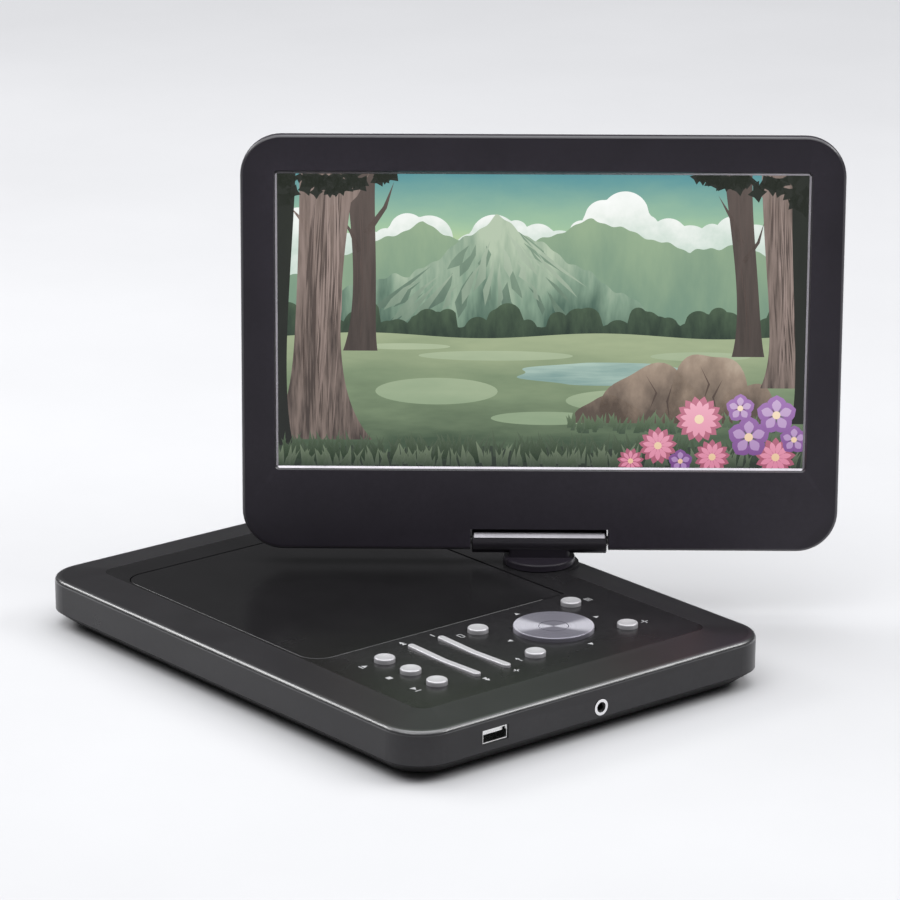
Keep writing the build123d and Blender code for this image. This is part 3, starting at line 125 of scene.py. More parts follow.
class Nodes:
    """A small helper round one material's node tree."""

    def __init__(self, name, material=None):
        self.material = material or bpy.data.materials.new(name)
        self.material.use_nodes = True
        self.tree = self.material.node_tree
        self.bsdf = self.tree.nodes["Principled BSDF"]
        self.coords = self.add("ShaderNodeTexCoord").outputs["Object"]

    def add(self, kind, **settings):
        node = self.tree.nodes.new(kind)
        for key, value in settings.items():
            setattr(node, key, value)
        return node

    def link(self, source, target):
        self.tree.links.new(source, target)

    def feed(self, source, socket):
        """Drives one of the shader's inputs."""
        self.link(source, self.bsdf.inputs[socket])

    def set(self, **values):
        for key, value in values.items():
            self.bsdf.inputs[key.replace("_", " ")].default_value = value

    def place(self):
        """The x, y and z of a point, as sockets."""
        parts = self.add("ShaderNodeSeparateXYZ")
        self.link(self.coords, parts.inputs["Vector"])
        return parts.outputs

    def noise(self, scale, detail=4.0, rough=0.55, coords=None):
        node = self.add("ShaderNodeTexNoise")
        node.inputs["Scale"].default_value = scale
        node.inputs["Detail"].default_value = detail
        node.inputs["Roughness"].default_value = rough
        self.link(coords or self.coords, node.inputs["Vector"])
        return node.outputs["Fac"]

    def stretch(self, x, y, z):
        node = self.add("ShaderNodeMapping")
        node.inputs["Scale"].default_value = (x, y, z)
        self.link(self.coords, node.inputs["Vector"])
        return node.outputs["Vector"]

    def spread(self, source, low, high, from_low=NOISE_LOW, from_high=NOISE_HIGH):
        node = self.add("ShaderNodeMapRange")
        node.inputs["From Min"].default_value = from_low
        node.inputs["From Max"].default_value = from_high
        node.inputs["To Min"].default_value = low
        node.inputs["To Max"].default_value = high
        self.link(source, node.inputs["Value"])
        return node.outputs["Result"]

    def ramp(self, source, stops):
        node = self.add("ShaderNodeValToRGB")
        elements = node.color_ramp.elements
        while len(elements) < len(stops):
            elements.new(0.5)
        for element, (place, colour) in zip(elements, stops.items()):
            element.position = place
            element.color = (*colour, 1.0)
        self.link(source, node.inputs["Fac"])
        return node.outputs["Color"]

    def mottle(self, noise, colour, vary):
        """The colour, made darker and paler by a share of itself."""
        return self.ramp(noise, {NOISE_LOW: shade(colour, 1 - vary), NOISE_HIGH: shade(colour, 1 + vary)})

    def math(self, operation, *values):
        node = self.add("ShaderNodeMath", operation=operation)
        for socket, value in zip(node.inputs, values):
            if isinstance(value, (int, float)):
                socket.default_value = value
            else:
                self.link(value, socket)
        return node.outputs["Value"]

    def times(self, a, b):
        return self.math("MULTIPLY", a, b)

    def mix(self, factor, a, b):
        node = self.add("ShaderNodeMix", data_type="RGBA")
        for name, value in (("Factor", factor), ("A", a), ("B", b)):
            if isinstance(value, (float, tuple)):
                node.inputs[name].default_value = value
            else:
                self.link(value, node.inputs[name])
        return node.outputs["Result"]

    def bump(self, height, strength, distance):
        node = self.add("ShaderNodeBump")
        node.inputs["Strength"].default_value = strength
        node.inputs["Distance"].default_value = distance
        self.link(height, node.inputs["Height"])
        self.feed(node.outputs["Normal"], "Normal")

    def rub(self, tint, colour, wear):
        """A tint whose sharp edges are rubbed to a paler form of the colour."""
        edge = self.add("ShaderNodeNewGeometry").outputs["Pointiness"]
        worn = self.times(self.spread(edge, 0.0, wear, BLUNT, SHARP), self.noise(RUB_SCALE))
        return self.mix(worn, tint, (*shade(colour, RUB_PALER), 1.0))

    def smear(self, low, high):
        """A roughness that wanders between two values in broad streaks."""
        return self.spread(self.noise(SMEAR_SCALE, 6.0, 0.6, self.stretch(1.0, 0.55, 1.3)), low, high)

    def polish(self, where, dull, bright, coat):
        """Raises the gloss where the mask is 1, as on an edge smoothed by handling."""
        self.feed(self.spread(where, dull, bright, 0.0, 1.0), "Specular IOR Level")
        self.feed(self.times(where, coat), "Coat Weight")
        self.set(Coat_Roughness=0.28)


def plastic(name, colour, rough=0.42, grain=0.00003, grain_scale=2600.0, vary=0.18, wear=0.0, shine=0.5):
    """Moulded plastic: fine texture, uneven sheen, slight mottling, and rubbed edges."""
    n = Nodes(name)
    tint = n.mottle(n.noise(MOTTLE_SCALE, 5.0), colour, vary)
    if wear:
        tint = n.rub(tint, colour, wear)
    n.feed(tint, "Base Color")
    n.feed(n.smear(rough - 0.05, rough + 0.07), "Roughness")
    n.bump(n.noise(grain_scale, 3.0), 0.5, grain)
    n.set(Specular_IOR_Level=shine)
    return n.material


def case_plastic(name, flat, border_with_painted_light):
    """The base's moulding: a smooth near-black top, and a satin finish on its border and walls, whose paler colour
    is painted light standing in for the brighter reflection off the sloping border.
    """
    n = Nodes(name)
    height = n.place()["Z"]
    on_top = n.math("GREATER_THAN", height, (TOP_Z - 0.05) * MM)
    patches = n.noise(MOTTLE_SCALE, 5.0)
    # Painted light: the border and walls get a paler colour than the top, for the brighter reflection off the
    # sloping border.
    tint = n.mix(on_top, n.mottle(patches, border_with_painted_light, 0.14), n.mottle(patches, flat, 0.14))
    n.feed(n.rub(tint, border_with_painted_light, 0.3), "Base Color")
    n.feed(n.math("SUBTRACT", n.smear(0.27, 0.35), n.times(on_top, 0.06)), "Roughness")
    n.bump(n.noise(2600.0, 3.0), 0.5, 0.00002)
    above_low = n.spread(height, 0.0, 1.0, RIM_LOW * MM, (RIM_LOW + 0.4) * MM)
    below_high = n.spread(height, 1.0, 0.0, (RIM_HIGH - 0.2) * MM, RIM_HIGH * MM)
    n.polish(n.times(above_low, below_high), dull=0.36, bright=1.0, coat=0.7)
    return n.material


def bezel_plastic(name, colour):
    """The screen's front frame: satin plastic with a glossier rounded edge."""
    material = plastic(name, colour, 0.34, 0.00002, 2200.0, 0.12, wear=0.3)
    n = Nodes(name, material)
    inwards = (ON_SCREEN.to_3x3() @ Vector((0, 1, 0))).normalized()
    along = n.add("ShaderNodeVectorMath", operation="DOT_PRODUCT")
    n.link(n.coords, along.inputs[0])
    along.inputs[1].default_value = inwards
    depth = along.outputs["Value"]
    zero = Vector(PIVOT).dot(inwards) * MM
    behind_face = n.math("GREATER_THAN", depth, zero + (FRONT_Y + 0.05) * MM)
    before_side = n.math("LESS_THAN", depth, zero + (FRONT_Y + EDGE_ROUND) * MM)
    n.polish(n.times(behind_face, before_side), dull=0.3, bright=0.8, coat=0.2)
    return material


def metal(name, colour, rough=0.3, brush=(1.0, 1.0, 1.0), scratch=0.00001, vary=0.08, metallic=1.0):
    """Metal with a brushed or fine satin finish and faint stains."""
    n = Nodes(name)
    n.feed(n.mottle(n.noise(60.0, 5.0), colour, vary), "Base Color")
    lines = n.noise(900.0, 3.0, 0.6, n.stretch(*brush))
    n.feed(n.spread(lines, rough - 0.06, rough + 0.08), "Roughness")
    n.bump(lines, 0.4, scratch)
    n.set(Metallic=metallic)
    return n.material


def spun_metal_painted_highlight(name, dull, painted_highlight_colour, rough):
    """Metal turned on a lathe: fine rings, and a painted highlight, a paler colour fanning out across the line of
    sight.
    """
    n = Nodes(name)
    place = n.place()
    dx = n.math("SUBTRACT", place["X"], NAV[0] * MM)
    dy = n.math("SUBTRACT", place["Y"], NAV[1] * MM)
    radius = n.math("SQRT", n.math("ADD", n.times(dx, dx), n.times(dy, dy)))
    ring_vector = n.add("ShaderNodeCombineXYZ")
    n.link(radius, ring_vector.inputs["X"])
    rings = n.noise(5200.0, 3.0, 0.6, ring_vector.outputs["Vector"])
    fan = math.radians(PAINTED_HIGHLIGHT_AZ)
    along = n.math("ADD", n.times(dx, math.cos(fan)), n.times(dy, math.sin(fan)))
    share = n.math("DIVIDE", n.math("ABSOLUTE", along), n.math("MAXIMUM", radius, 0.3 * MM))
    # Painted highlight: the colour turns paler where a point lies along the fan's direction from the pad's middle.
    painted_highlight = n.add("ShaderNodeMapRange", interpolation_type="SMOOTHSTEP")
    painted_highlight.inputs["From Min"].default_value = 0.78
    painted_highlight.inputs["From Max"].default_value = 0.98
    n.link(share, painted_highlight.inputs["Value"])
    tint = n.mix(painted_highlight.outputs["Result"], (*dull, 1.0), (*painted_highlight_colour, 1.0))
    n.feed(n.mix(n.spread(rings, 0.0, 0.22), tint, (*shade(dull, 0.5), 1.0)), "Base Color")
    n.feed(n.spread(rings, rough - 0.05, rough + 0.08), "Roughness")
    tangent = n.add("ShaderNodeTangent", direction_type="RADIAL", axis="Z")
    n.feed(tangent.outputs["Tangent"], "Tangent")
    n.bump(rings, 0.25, 0.00001)
    n.set(Metallic=0.4, Anisotropic=0.8)
    return n.material


def circuit_board(name):
    """Green mask with lighter tracks."""
    n = Nodes(name)
    tracks = n.add("ShaderNodeTexBrick", offset=0.5)
    tracks.inputs["Scale"].default_value = 260.0
    tracks.inputs["Color1"].default_value = (0.015, 0.11, 0.05, 1)
    tracks.inputs["Color2"].default_value = (0.02, 0.14, 0.06, 1)
    tracks.inputs["Mortar"].default_value = (0.05, 0.22, 0.1, 1)
    tracks.inputs["Mortar Size"].default_value = 0.03
    n.link(n.coords, tracks.inputs["Vector"])
    n.feed(tracks.outputs["Color"], "Base Color")
    n.bump(tracks.outputs["Fac"], 0.3, 0.00003)
    n.set(Roughness=0.35)
    return n.material


def glossy(name, colour, rough, transmission=0.0):
    """Clear or tinted glossy plastic with faint smears."""
    n = Nodes(name)
    smears = n.noise(30.0, 5.0)
    n.feed(n.mottle(smears, colour, 0.1), "Base Color")
    n.feed(n.spread(smears, rough * 0.7, rough * 1.6), "Roughness")
    n.bump(n.noise(700.0), 0.08, 0.00001)
    n.set(Transmission_Weight=transmission)
    return n.material


COARSE = {"grain": 0.00006, "grain_scale": 1500.0}  # the texture of covers that face away from the user
PLASTICS = {
    "case_under": dict(colour=(0.0090, 0.0086, 0.0092), rough=0.55, wear=0.15, shine=0.3, **COARSE),
    "rear_cover": dict(colour=(0.0140, 0.0125, 0.0150), rough=0.45, wear=0.2, shine=0.35, **COARSE),
    "rubber": dict(colour=(0.012, 0.012, 0.012), rough=0.8, grain=0.00008, grain_scale=1200.0),
    "components": dict(colour=(0.02, 0.02, 0.022), rough=0.45),
    "battery": dict(colour=(0.03, 0.07, 0.2), rough=0.3),
    "speaker": dict(colour=(0.02, 0.02, 0.02), rough=0.6),
    "socket": dict(colour=(0.012, 0.012, 0.012), rough=0.4),
    "switch": dict(colour=(0.015, 0.015, 0.016), rough=0.45),
    "damper": dict(colour=(0.05, 0.05, 0.055), rough=0.7),
    "hub": dict(colour=(0.02, 0.02, 0.02), rough=0.5),
    "pickup": dict(colour=(0.03, 0.03, 0.033), rough=0.45),
    "lens_frame": dict(colour=(0.012, 0.012, 0.012), rough=0.5),
    "gear": dict(colour=(0.72, 0.70, 0.64), rough=0.4),
}
METALS = {
    "screw": dict(colour=(0.06, 0.06, 0.065), rough=0.4),
    "dome": dict(colour=(0.75, 0.74, 0.7), rough=0.2),
    "port_steel": dict(colour=(0.75, 0.75, 0.74), rough=0.22, brush=(0.2, 3.0, 3.0)),
    "bright": dict(colour=(0.86, 0.85, 0.86), rough=0.16),
    "key_silver": dict(colour=(0.54, 0.53, 0.55), rough=0.34, scratch=0.000002, vary=0.03, metallic=0.3),
    "deck_steel": dict(colour=(0.62, 0.63, 0.62), brush=(0.3, 3.0, 1.0)),
    "motor_steel": dict(colour=(0.5, 0.5, 0.5)),
    "ball_steel": dict(colour=(0.8, 0.8, 0.8), rough=0.12),
    "spring_steel": dict(colour=(0.6, 0.6, 0.58), rough=0.25),
    "hinge_steel": dict(colour=(0.45, 0.45, 0.44), rough=0.35),
    "display_tray": dict(colour=(0.55, 0.56, 0.57), rough=0.35),
}
MATERIALS = {name: plastic(name, **look) for name, look in PLASTICS.items()}
MATERIALS |= {name: metal(name, **look) for name, look in METALS.items()}
# The second colour is the border's and walls', made paler as painted light.
MATERIALS["case_black"] = case_plastic("case_black", (0.0098, 0.0094, 0.0100), (0.0168, 0.0160, 0.0175))
MATERIALS["bezel"] = bezel_plastic("bezel", (0.0210, 0.0177, 0.0245))
MATERIALS["board"] = circuit_board("board")
MATERIALS["lens"] = glossy("lens", (0.4, 0.5, 0.9), 0.04, transmission=0.8)
MATERIALS["display_glass"] = glossy("display_glass", (0.012, 0.013, 0.014), 0.12)

SPUN_WITH_PAINTED_HIGHLIGHT = spun_metal_painted_highlight("spun_silver_painted_highlight", (0.25, 0.24, 0.285), (0.72, 0.70, 0.78), 0.26)
# The hinge strip's pale satin metal is partly a painted highlight, standing in for the gleam along the top of the
# hinge barrel.
HINGE_STRIP_AND_PAINTED_HIGHLIGHT = metal("strip_satin_and_painted_highlight", (0.32, 0.31, 0.33), 0.36, (0.15, 3.0, 3.0))
OWN_LOOKS = {"nav_ring": SPUN_WITH_PAINTED_HIGHLIGHT, "ok_key": SPUN_WITH_PAINTED_HIGHLIGHT, "hinge_strip": HINGE_STRIP_AND_PAINTED_HIGHLIGHT}


def soften(piece):
    """Smooth shading with crisp edges kept."""
    piece.data.shade_smooth()
    bpy.context.view_layer.objects.active = piece
    piece.select_set(True)
    bpy.ops.object.shade_auto_smooth(angle=math.radians(32.0))
    piece.select_set(False)


for row in frame["record"]["subparts"]:
    piece = NODES[row["node"]]
    piece.data.materials.clear()
    piece.data.materials.append(OWN_LOOKS.get(row["node"], MATERIALS[row["material_slot"]]))
    soften(piece)


# ---------------------------------------------------------------- pieces made here
def add_piece(name, mesh, material, body):
    """A new piece from a bmesh, riding on a body."""
    data = bpy.data.meshes.new(name)
    mesh.to_mesh(data)
    mesh.free()
    data.materials.append(material)
    piece = bpy.data.objects.new(name, data)
    bpy.context.scene.collection.objects.link(piece)
    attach(piece, body)
    return piece


def flat_piece(name, polygons, to_3d, material, body):
    """One mesh of flat polygons. to_3d places a polygon's 2-D points in the CAD frame."""
    mesh = bmesh.new()
    for polygon in polygons:
        mesh.faces.new([mesh.verts.new(to_3d(*point)) for point in polygon])
    bmesh.ops.triangulate(mesh, faces=mesh.faces[:])
    add_piece(name, mesh, material, body)


def join_loops(mesh, loops):
    """Quads between each closed loop of vertices and the next."""
    for a, b in itertools.pairwise(loops):
        for i in range(len(a)):
            mesh.faces.new((a[i - 1], a[i], b[i], b[i - 1]))


# ---------------------------------------------------------------- the picture on the display
# Places in the picture are in millimetres: u runs right from its middle and v up from its lower edge.
# A layer's colours change with height, from 0 at its low to 1 at its high.
LAYERS = {
    "sky": dict(low=88, high=131, streaks=0.05, scale=30.0, stretch=(1.0, 1.0, 2.5),
                colours={0.0: (0.62, 0.72, 0.34), 0.45: (0.36, 0.55, 0.36), 1.0: (0.10, 0.30, 0.33)}),
    "clouds": dict(low=96, high=122, streaks=0.25, scale=90.0, stretch=(1.0, 1.0, 1.0),
                   colours={0.0: (0.58, 0.70, 0.62), 0.6: (0.86, 0.90, 0.86), 1.0: (0.95, 0.97, 0.95)}),
    "far_hills": dict(low=60, high=112, streaks=0.3, scale=60.0,
                      colours={0.0: (0.16, 0.27, 0.20), 1.0: (0.30, 0.42, 0.27)}),
    "peak": dict(low=56, high=114, streaks=0.42, scale=75.0, stretch=(1.0, 1.0, 0.22),
                 colours={0.0: (0.06, 0.12, 0.09), 0.5: (0.22, 0.33, 0.24), 1.0: (0.46, 0.56, 0.42)}),
    "ravines": dict(low=56, high=108, streaks=0.2, scale=70.0,
                    colours={0.0: (0.06, 0.11, 0.085), 1.0: (0.26, 0.37, 0.265)}),
    "crests": dict(low=58, high=112, streaks=0.2, scale=70.0,
                   colours={0.0: (0.14, 0.22, 0.16), 1.0: (0.50, 0.60, 0.46)}),
    "bushes": dict(low=54, high=78, streaks=0.3, scale=220.0,
                   colours={0.0: (0.018, 0.035, 0.025), 1.0: (0.075, 0.12, 0.07)}),
    "meadow": dict(low=8, high=62, streaks=0.16, scale=26.0, stretch=(0.6, 0.6, 3.0),
                   colours={0.0: (0.05, 0.085, 0.05), 0.5: (0.20, 0.27, 0.16), 1.0: (0.36, 0.43, 0.26)}),
    "patches": dict(low=20, high=60, streaks=0.2, scale=30.0, stretch=(0.6, 0.6, 3.0),
                    colours={0.0: (0.26, 0.35, 0.22), 1.0: (0.42, 0.50, 0.33)}),
    "pond": dict(low=30, high=52, streaks=0.25, scale=60.0, stretch=(0.5, 0.5, 5.0),
                 colours={0.0: (0.10, 0.22, 0.22), 1.0: (0.46, 0.60, 0.52)}),
    "rocks": dict(low=22, high=62, streaks=0.22, scale=90.0, stretch=(1.0, 1.0, 0.7),
                  colours={0.0: (0.10, 0.075, 0.06), 0.6: (0.34, 0.26, 0.20), 1.0: (0.56, 0.46, 0.36)}),
    "cracks": dict(low=20, high=60, colours={0.0: (0.05, 0.035, 0.03), 1.0: (0.16, 0.11, 0.085)}),
    "tufts": dict(low=16, high=30, colours={0.0: (0.05, 0.08, 0.05), 1.0: (0.20, 0.27, 0.16)}),
    "back_trees": dict(low=20, high=130, streaks=0.3, scale=120.0, stretch=(3.0, 3.0, 0.15),
                       colours={0.0: (0.05, 0.04, 0.035), 1.0: (0.11, 0.085, 0.075)}),
    "front_trees": dict(low=-30, high=160, streaks=0.5, scale=95.0, stretch=(4.0, 4.0, 0.12),
                        colours={0.0: (0.06, 0.045, 0.04), 0.5: (0.19, 0.145, 0.125),
                                 1.0: (0.28, 0.215, 0.19)}),
    "bark": dict(low=10, high=130, colours={0.0: (0.05, 0.036, 0.03), 1.0: (0.12, 0.09, 0.08)}),
    "bark_lit": dict(low=10, high=130, colours={0.0: (0.20, 0.15, 0.13), 1.0: (0.40, 0.31, 0.28)}),
    "dark_leaves": dict(low=0, high=130, streaks=0.2, scale=160.0,
                        colours={0.0: (0.012, 0.014, 0.012), 1.0: (0.022, 0.026, 0.02)}),
    "grass_shade": dict(low=0, high=18, colours={0.0: (0.014, 0.022, 0.016), 1.0: (0.05, 0.075, 0.05)}),
    "grass_back": dict(low=2, high=20, colours={0.0: (0.02, 0.034, 0.022), 1.0: (0.115, 0.16, 0.10)}),
    "grass_front": dict(low=0, high=15, colours={0.0: (0.035, 0.052, 0.036), 1.0: (0.23, 0.29, 0.19)}),
    "rose_backs": dict(low=0, high=34, colours={0.0: (0.36, 0.09, 0.15), 1.0: (0.56, 0.20, 0.28)}),
    "rose_petals": dict(low=0, high=34, colours={0.0: (0.66, 0.22, 0.34), 1.0: (0.88, 0.46, 0.56)}),
    "violets": dict(low=0, high=34, colours={0.0: (0.16, 0.05, 0.22), 1.0: (0.38, 0.20, 0.48)}),
    "violet_petals": dict(low=0, high=34, colours={0.0: (0.36, 0.2, 0.44), 1.0: (0.60, 0.44, 0.66)}),
    "flower_hearts": dict(low=0, high=34, colours={0.0: (0.75, 0.5, 0.3), 1.0: (0.95, 0.8, 0.6)}),
}
FIRST_LIFT, LAYER_STEP = 0.02, 0.012  # the layers stand this far in front of the glass and each other
layer_number = itertools.count(1)


def glow(name, colours, low, high, streaks=0.0, scale=0.0, stretch=(1.0, 1.0, 0.3)):
    """A lit colour that changes with height, uneven by its streaks."""
    n = Nodes(name)
    rise = math.cos(math.radians(TILT_REST))
    foot, top = ((PIVOT[2] + (VIEW_LOW + v) * rise) * MM for v in (low, high))
    height = n.spread(n.place()["Z"], 0.0, 1.0, foot, top)
    if streaks:
        lines = n.noise(scale, 4.0, 0.6, n.stretch(*stretch))
        height = n.math("ADD", height, n.spread(lines, -streaks, streaks))
    n.feed(n.ramp(height, colours), "Emission Color")
    n.set(Base_Color=(0.0, 0.0, 0.0, 1.0), Emission_Strength=1.0, Roughness=0.18, Specular_IOR_Level=0.35)
    return n.material


def picture(name, polygons):
    """A layer of the picture, clipped to its edges, a hair in front of the one before."""
    depth = GLASS_Y - FIRST_LIFT - LAYER_STEP * next(layer_number)

    def on_glass(u, v):
        u, v = max(-HALF_VIEW, min(HALF_VIEW, u)), max(0.0, min(VIEW_H, v))
        return ON_SCREEN @ Vector((u, depth, VIEW_LOW + v))

    flat_piece("picture_" + name, polygons, on_glass, glow(name, **LAYERS[name]), "screen")


def skyline(top, low=0.0):
    """The ground under a curve, as narrow upright strips."""
    strips = []
    count = 240
    for i in range(count):
        a, b = (-HALF_VIEW + VIEW_W * k / count for k in (i, i + 1))
        strips.append([(a, low), (b, low), (b, max(top(b), low + 0.05)), (a, max(top(a), low + 0.05))])
    return strips


def puffs(centres):
    """The upper outline of a row of round puffs."""
    def top(u):
        best = 0.0
        for c, base, r in centres:
            if abs(u - c) < r:
                best = max(best, base + math.sqrt(r * r - (u - c) ** 2))
        return best
    return top


def hills(ridges):
    """The upper outline of hills, each (peak, top, left slope, right slope, roughness, phase)."""
    def top(u):
        heights = []
        for peak, crown, left, right, rough, phase in ridges:
            side = left if u < peak else right
            ripple = math.sin(u * 0.33 + phase) + 0.5 * math.sin(u * 0.9 + phase)
            heights.append(crown - side * abs(u - peak) + rough * ripple)
        return max(heights)
    return top


def ellipse(x, y, a, b, count):
    turns = [2 * math.pi * i / count for i in range(count)]
    return [(x + a * math.cos(t), y + b * math.sin(t)) for t in turns]


def ravines(peak, top, spread, count, width):
    """Uneven valleys and crests down a hill's flanks, as bent slivers that start below its peak."""
    foot_height = 54
    shapes = []
    for i in range(count):
        share = (i + random.uniform(0.0, 1.0)) / count
        foot = peak + spread * (share - 0.5) * 2.0
        start = random.uniform(0.10, 0.60)
        stop = min(1.0, start + random.uniform(0.18, 0.42))
        line = []
        for t in (start, (2 * start + stop) / 3, (start + 2 * stop) / 3, stop):
            sway = random.uniform(-1.4, 1.4)
            line.append((peak + (foot - peak) * t + sway, top + (foot_height - top) * t))
        half = width * random.uniform(0.8, 2.0)
        (x0, y0), (x1, y1), (x2, y2), (x3, y3) = line
        left = [(x0, y0), (x1 - half * 0.6, y1), (x2 - half, y2)]
        right = [(x3, y3), (x2 + half, y2 - 1.5), (x1 + half * 0.6, y1)]
        shapes.append(left + right)
    return shapes


def draw_sky():
    """Open sky, and a row of clouds with one tall bank."""
    low = 60
    picture("sky", [[(-HALF_VIEW, low), (HALF_VIEW, low), (HALF_VIEW, VIEW_H), (-HALF_VIEW, VIEW_H)]])
    centres = []
    for i in range(26):
        bank = 8 if 13 < i < 19 else 0
        centres.append((-116 + 9.5 * i, 100 + 5 * math.sin(i * 1.3) + bank, 8 + 3 * math.sin(i * 2.1)))
    picture("clouds", skyline(puffs(centres), 70))


def draw_hills():
    """Far hills, a peak before them with valleys down its flanks, and a line of bushes."""
    far = [(-52, 109, 0.42, 0.5, 0.7, 0), (22, 111, 0.42, 0.34, 0.7, 2), (84, 100, 0.2, 0.3, 0.9, 4)]
    picture("far_hills", skyline(hills(far), 55))
    peak, top = -20, 112
    near = [(peak, top, 0.72, 0.62, 1.0, 1), (-66, 86, 0.3, 0.3, 1.0, 3)]
    picture("peak", skyline(hills(near), 50))
    picture("ravines", ravines(peak, top, spread=78, count=20, width=1.5))
    picture("crests", ravines(peak, top, spread=74, count=16, width=1.1))
    bushes = []
    for i in range(54):
        v = 62 + 4 * math.sin(i * 0.9) + 3 * math.sin(i * 2.3)
        bushes.append((-116 + 4.4 * i, v, 5.0 + 1.2 * math.sin(i * 1.7)))
    picture("bushes", skyline(puffs(bushes), 48))


def draw_meadow():
    """A meadow with paler patches, each (u, v, half width, half height), and a pond."""
    picture("meadow", skyline(lambda u: 59 + 1.2 * math.sin(u * 0.06)))
    spots = [(-46, 34, 27, 6), (-20, 50, 34, 2.2), (38, 30, 27, 5), (-60, 54, 20, 1.4), (70, 50, 22, 2.0),
             (2, 22, 24, 3)]
    picture("patches", [ellipse(*spot, count=40) for spot in spots])
    shore = ellipse(30, 42, 40, 5.2, count=60)
    picture("pond", [[(u + 3 * math.sin(k * 0.7), v) for k, (u, v) in enumerate(shore)]])


def blades(count, low, tall, u0, u1):
    """Grass blades, each a bent sliver."""
    shapes = []
    for _ in range(count):
        u = random.uniform(u0, u1)
        h = random.uniform(0.55, 1.0) * tall
        lean = random.uniform(-0.45, 0.45) * h
        w = random.uniform(0.7, 1.5)
        base = low + random.uniform(-2.0, 2.0)
        bend, tip = (u + w * 0.7 + lean * 0.35, base + h * 0.55), (u + lean, base + h)
        shapes.append([(u - w, base), (u + w, base), bend, tip])
        shapes.append([(u - w, base), bend, tip, (u - w * 0.5 + lean * 0.25, base + h * 0.5)])
    return shapes


def draw_rocks():
    """Rounded boulders by the pond, with cracks, and tufts of grass at their foot."""
    foot = 20
    rocks = []
    for x, a, b, phase in ((50, 24, 26, 0.7), (74, 20, 32, 3.5), (30, 15, 12, 6.3), (92, 14, 18, 2.1)):
        rim = []
        for i in range(30):
            t = math.pi * i / 29
            bulge = 1 + 0.06 * math.sin(5 * t + phase)
            rim.append((x + a * math.cos(t) * bulge, foot + b * math.sin(t) * bulge))
        rocks.append(rim)
    picture("rocks", rocks)
    cracks = []
    for x, y, lean in ((46, 42, 0.5), (58, 38, -0.3), (70, 46, 0.4), (80, 40, -0.5), (64, 30, 0.2)):
        cracks.append([(x, y), (x + lean * 9, y - 8), (x + lean * 4, y - 16), (x + lean * 9 + 0.9, y - 8.4)])
    picture("cracks", cracks)
    picture("tufts", blades(110, low=17, tall=8, u0=12, u1=108))


def trunk_middle(x, lean, low, t):
    """The middle of a trunk, a share t of the way from its foot to the top of the picture."""
    return x + lean * t + 2.2 * math.sin(3.2 * t + x), low + (VIEW_H - low) * t


def trunk(x, width, lean, flare, low):
    """One tree trunk from the ground to the top of the picture, as stacked quads."""
    quads = []
    steps = 40
    for i in range(steps):
        edges = []
        for t in (i / steps, (i + 1) / steps):
            u, v = trunk_middle(x, lean, low, t)
            half = width / 2 * (1 + flare * math.exp(-7 * t) + 0.35 * t ** 3)
            edges.append((u - half, u + half, v))
        (a0, b0, v0), (a1, b1, v1) = edges
        quads.append([(a0, v0), (b0, v0), (b1, v1), (a1, v1)])
    return quads


def limb(x, y, length, angle, width):
    """A branch, thick up to its bend and pointed at its tip."""
    dx, dy = math.cos(math.radians(angle)), math.sin(math.radians(angle))
    nx, ny = -dy * width / 2, dx * width / 2
    bx, by = x + dx * length * 0.55 + 1.5, y + dy * length * 0.55 - 1.0
    below, above = (bx - nx * 0.6, by - ny * 0.6), (bx + nx * 0.6, by + ny * 0.6)
    return [[(x - nx, y - ny), below, above, (x + nx, y + ny)],
            [below, (x + dx * length, y + dy * length), above]]


def bark(x, width, lean, low, count):
    """Thin lines that run up a trunk."""
    shapes = []
    for _ in range(count):
        off = random.uniform(-0.42, 0.42) * width
        t0 = random.uniform(0.0, 0.7)
        t1 = min(1.0, t0 + random.uniform(0.12, 0.4))
        half = random.uniform(0.15, 0.45)
        (x0, y0), (x1, y1), (x2, y2) = (trunk_middle(x, lean, low, t) for t in (t0, (t0 + t1) / 2, t1))
        shapes.append([(x0 + off, y0), (x1 + off - half, y1), (x2 + off, y2), (x1 + off + half, y1)])
    return shapes


def leaf(u, v, radius, turn):
    """A jagged leaf: an eight-pointed outline with every other point drawn in."""
    outline = []
    for k in range(8):
        reach = radius * (1.0 if k % 2 else 0.55)
        angle = math.radians(turn + k * 45)
        outline.append((u + reach * math.cos(angle), v + reach * math.sin(angle)))
    return outline


def draw_trees():
    """Trunks at both sides, with limbs and bark, and dark leaves along the top corners."""
    shapes = trunk(-81, 9.5, 3, 0.6, 52) + trunk(89, 9, -2, 0.6, 50)
    shapes += limb(-77, 104, 26, 62, 3.0) + limb(-80, 96, 20, 118, 2.4)
    shapes += limb(87, 100, 24, 116, 2.8) + limb(88, 92, 20, 64, 2.2)
    picture("back_trees", shapes)
    shapes = trunk(-97, 18, 2, 1.6, 12) + trunk(109, 15, -2, 0.9, 36)
    shapes += limb(-93, 112, 26, 48, 5) + limb(-98, 100, 20, 128, 4) + limb(106, 110, 22, 132, 4.5)
    picture("front_trees", shapes)
    on_front = bark(-97, 17, 2, 12, count=54) + bark(109, 14, -2, 36, count=34)
    on_back = bark(-81, 8, 3, 52, count=14) + bark(89, 8, -2, 50, count=14)
    picture("bark", on_front + on_back)
    picture("bark_lit", bark(-95, 13, 2, 12, count=30) + bark(107, 11, -2, 36, count=20))
    shapes = trunk(-115, 9, -1, 0.8, 8) + trunk(115, 8, 1, 0.6, 20)
    for side in (-1, 1):
        for _ in range(46):
            out = random.uniform(66, 116)
            v = VIEW_H - random.uniform(0.0, 15.0) * (out - 62) / 54
            radius = random.uniform(2.2, 4.8)
            shapes.append(leaf(side * out, v, radius, random.uniform(0, 360)))
    picture("dark_leaves", shapes)


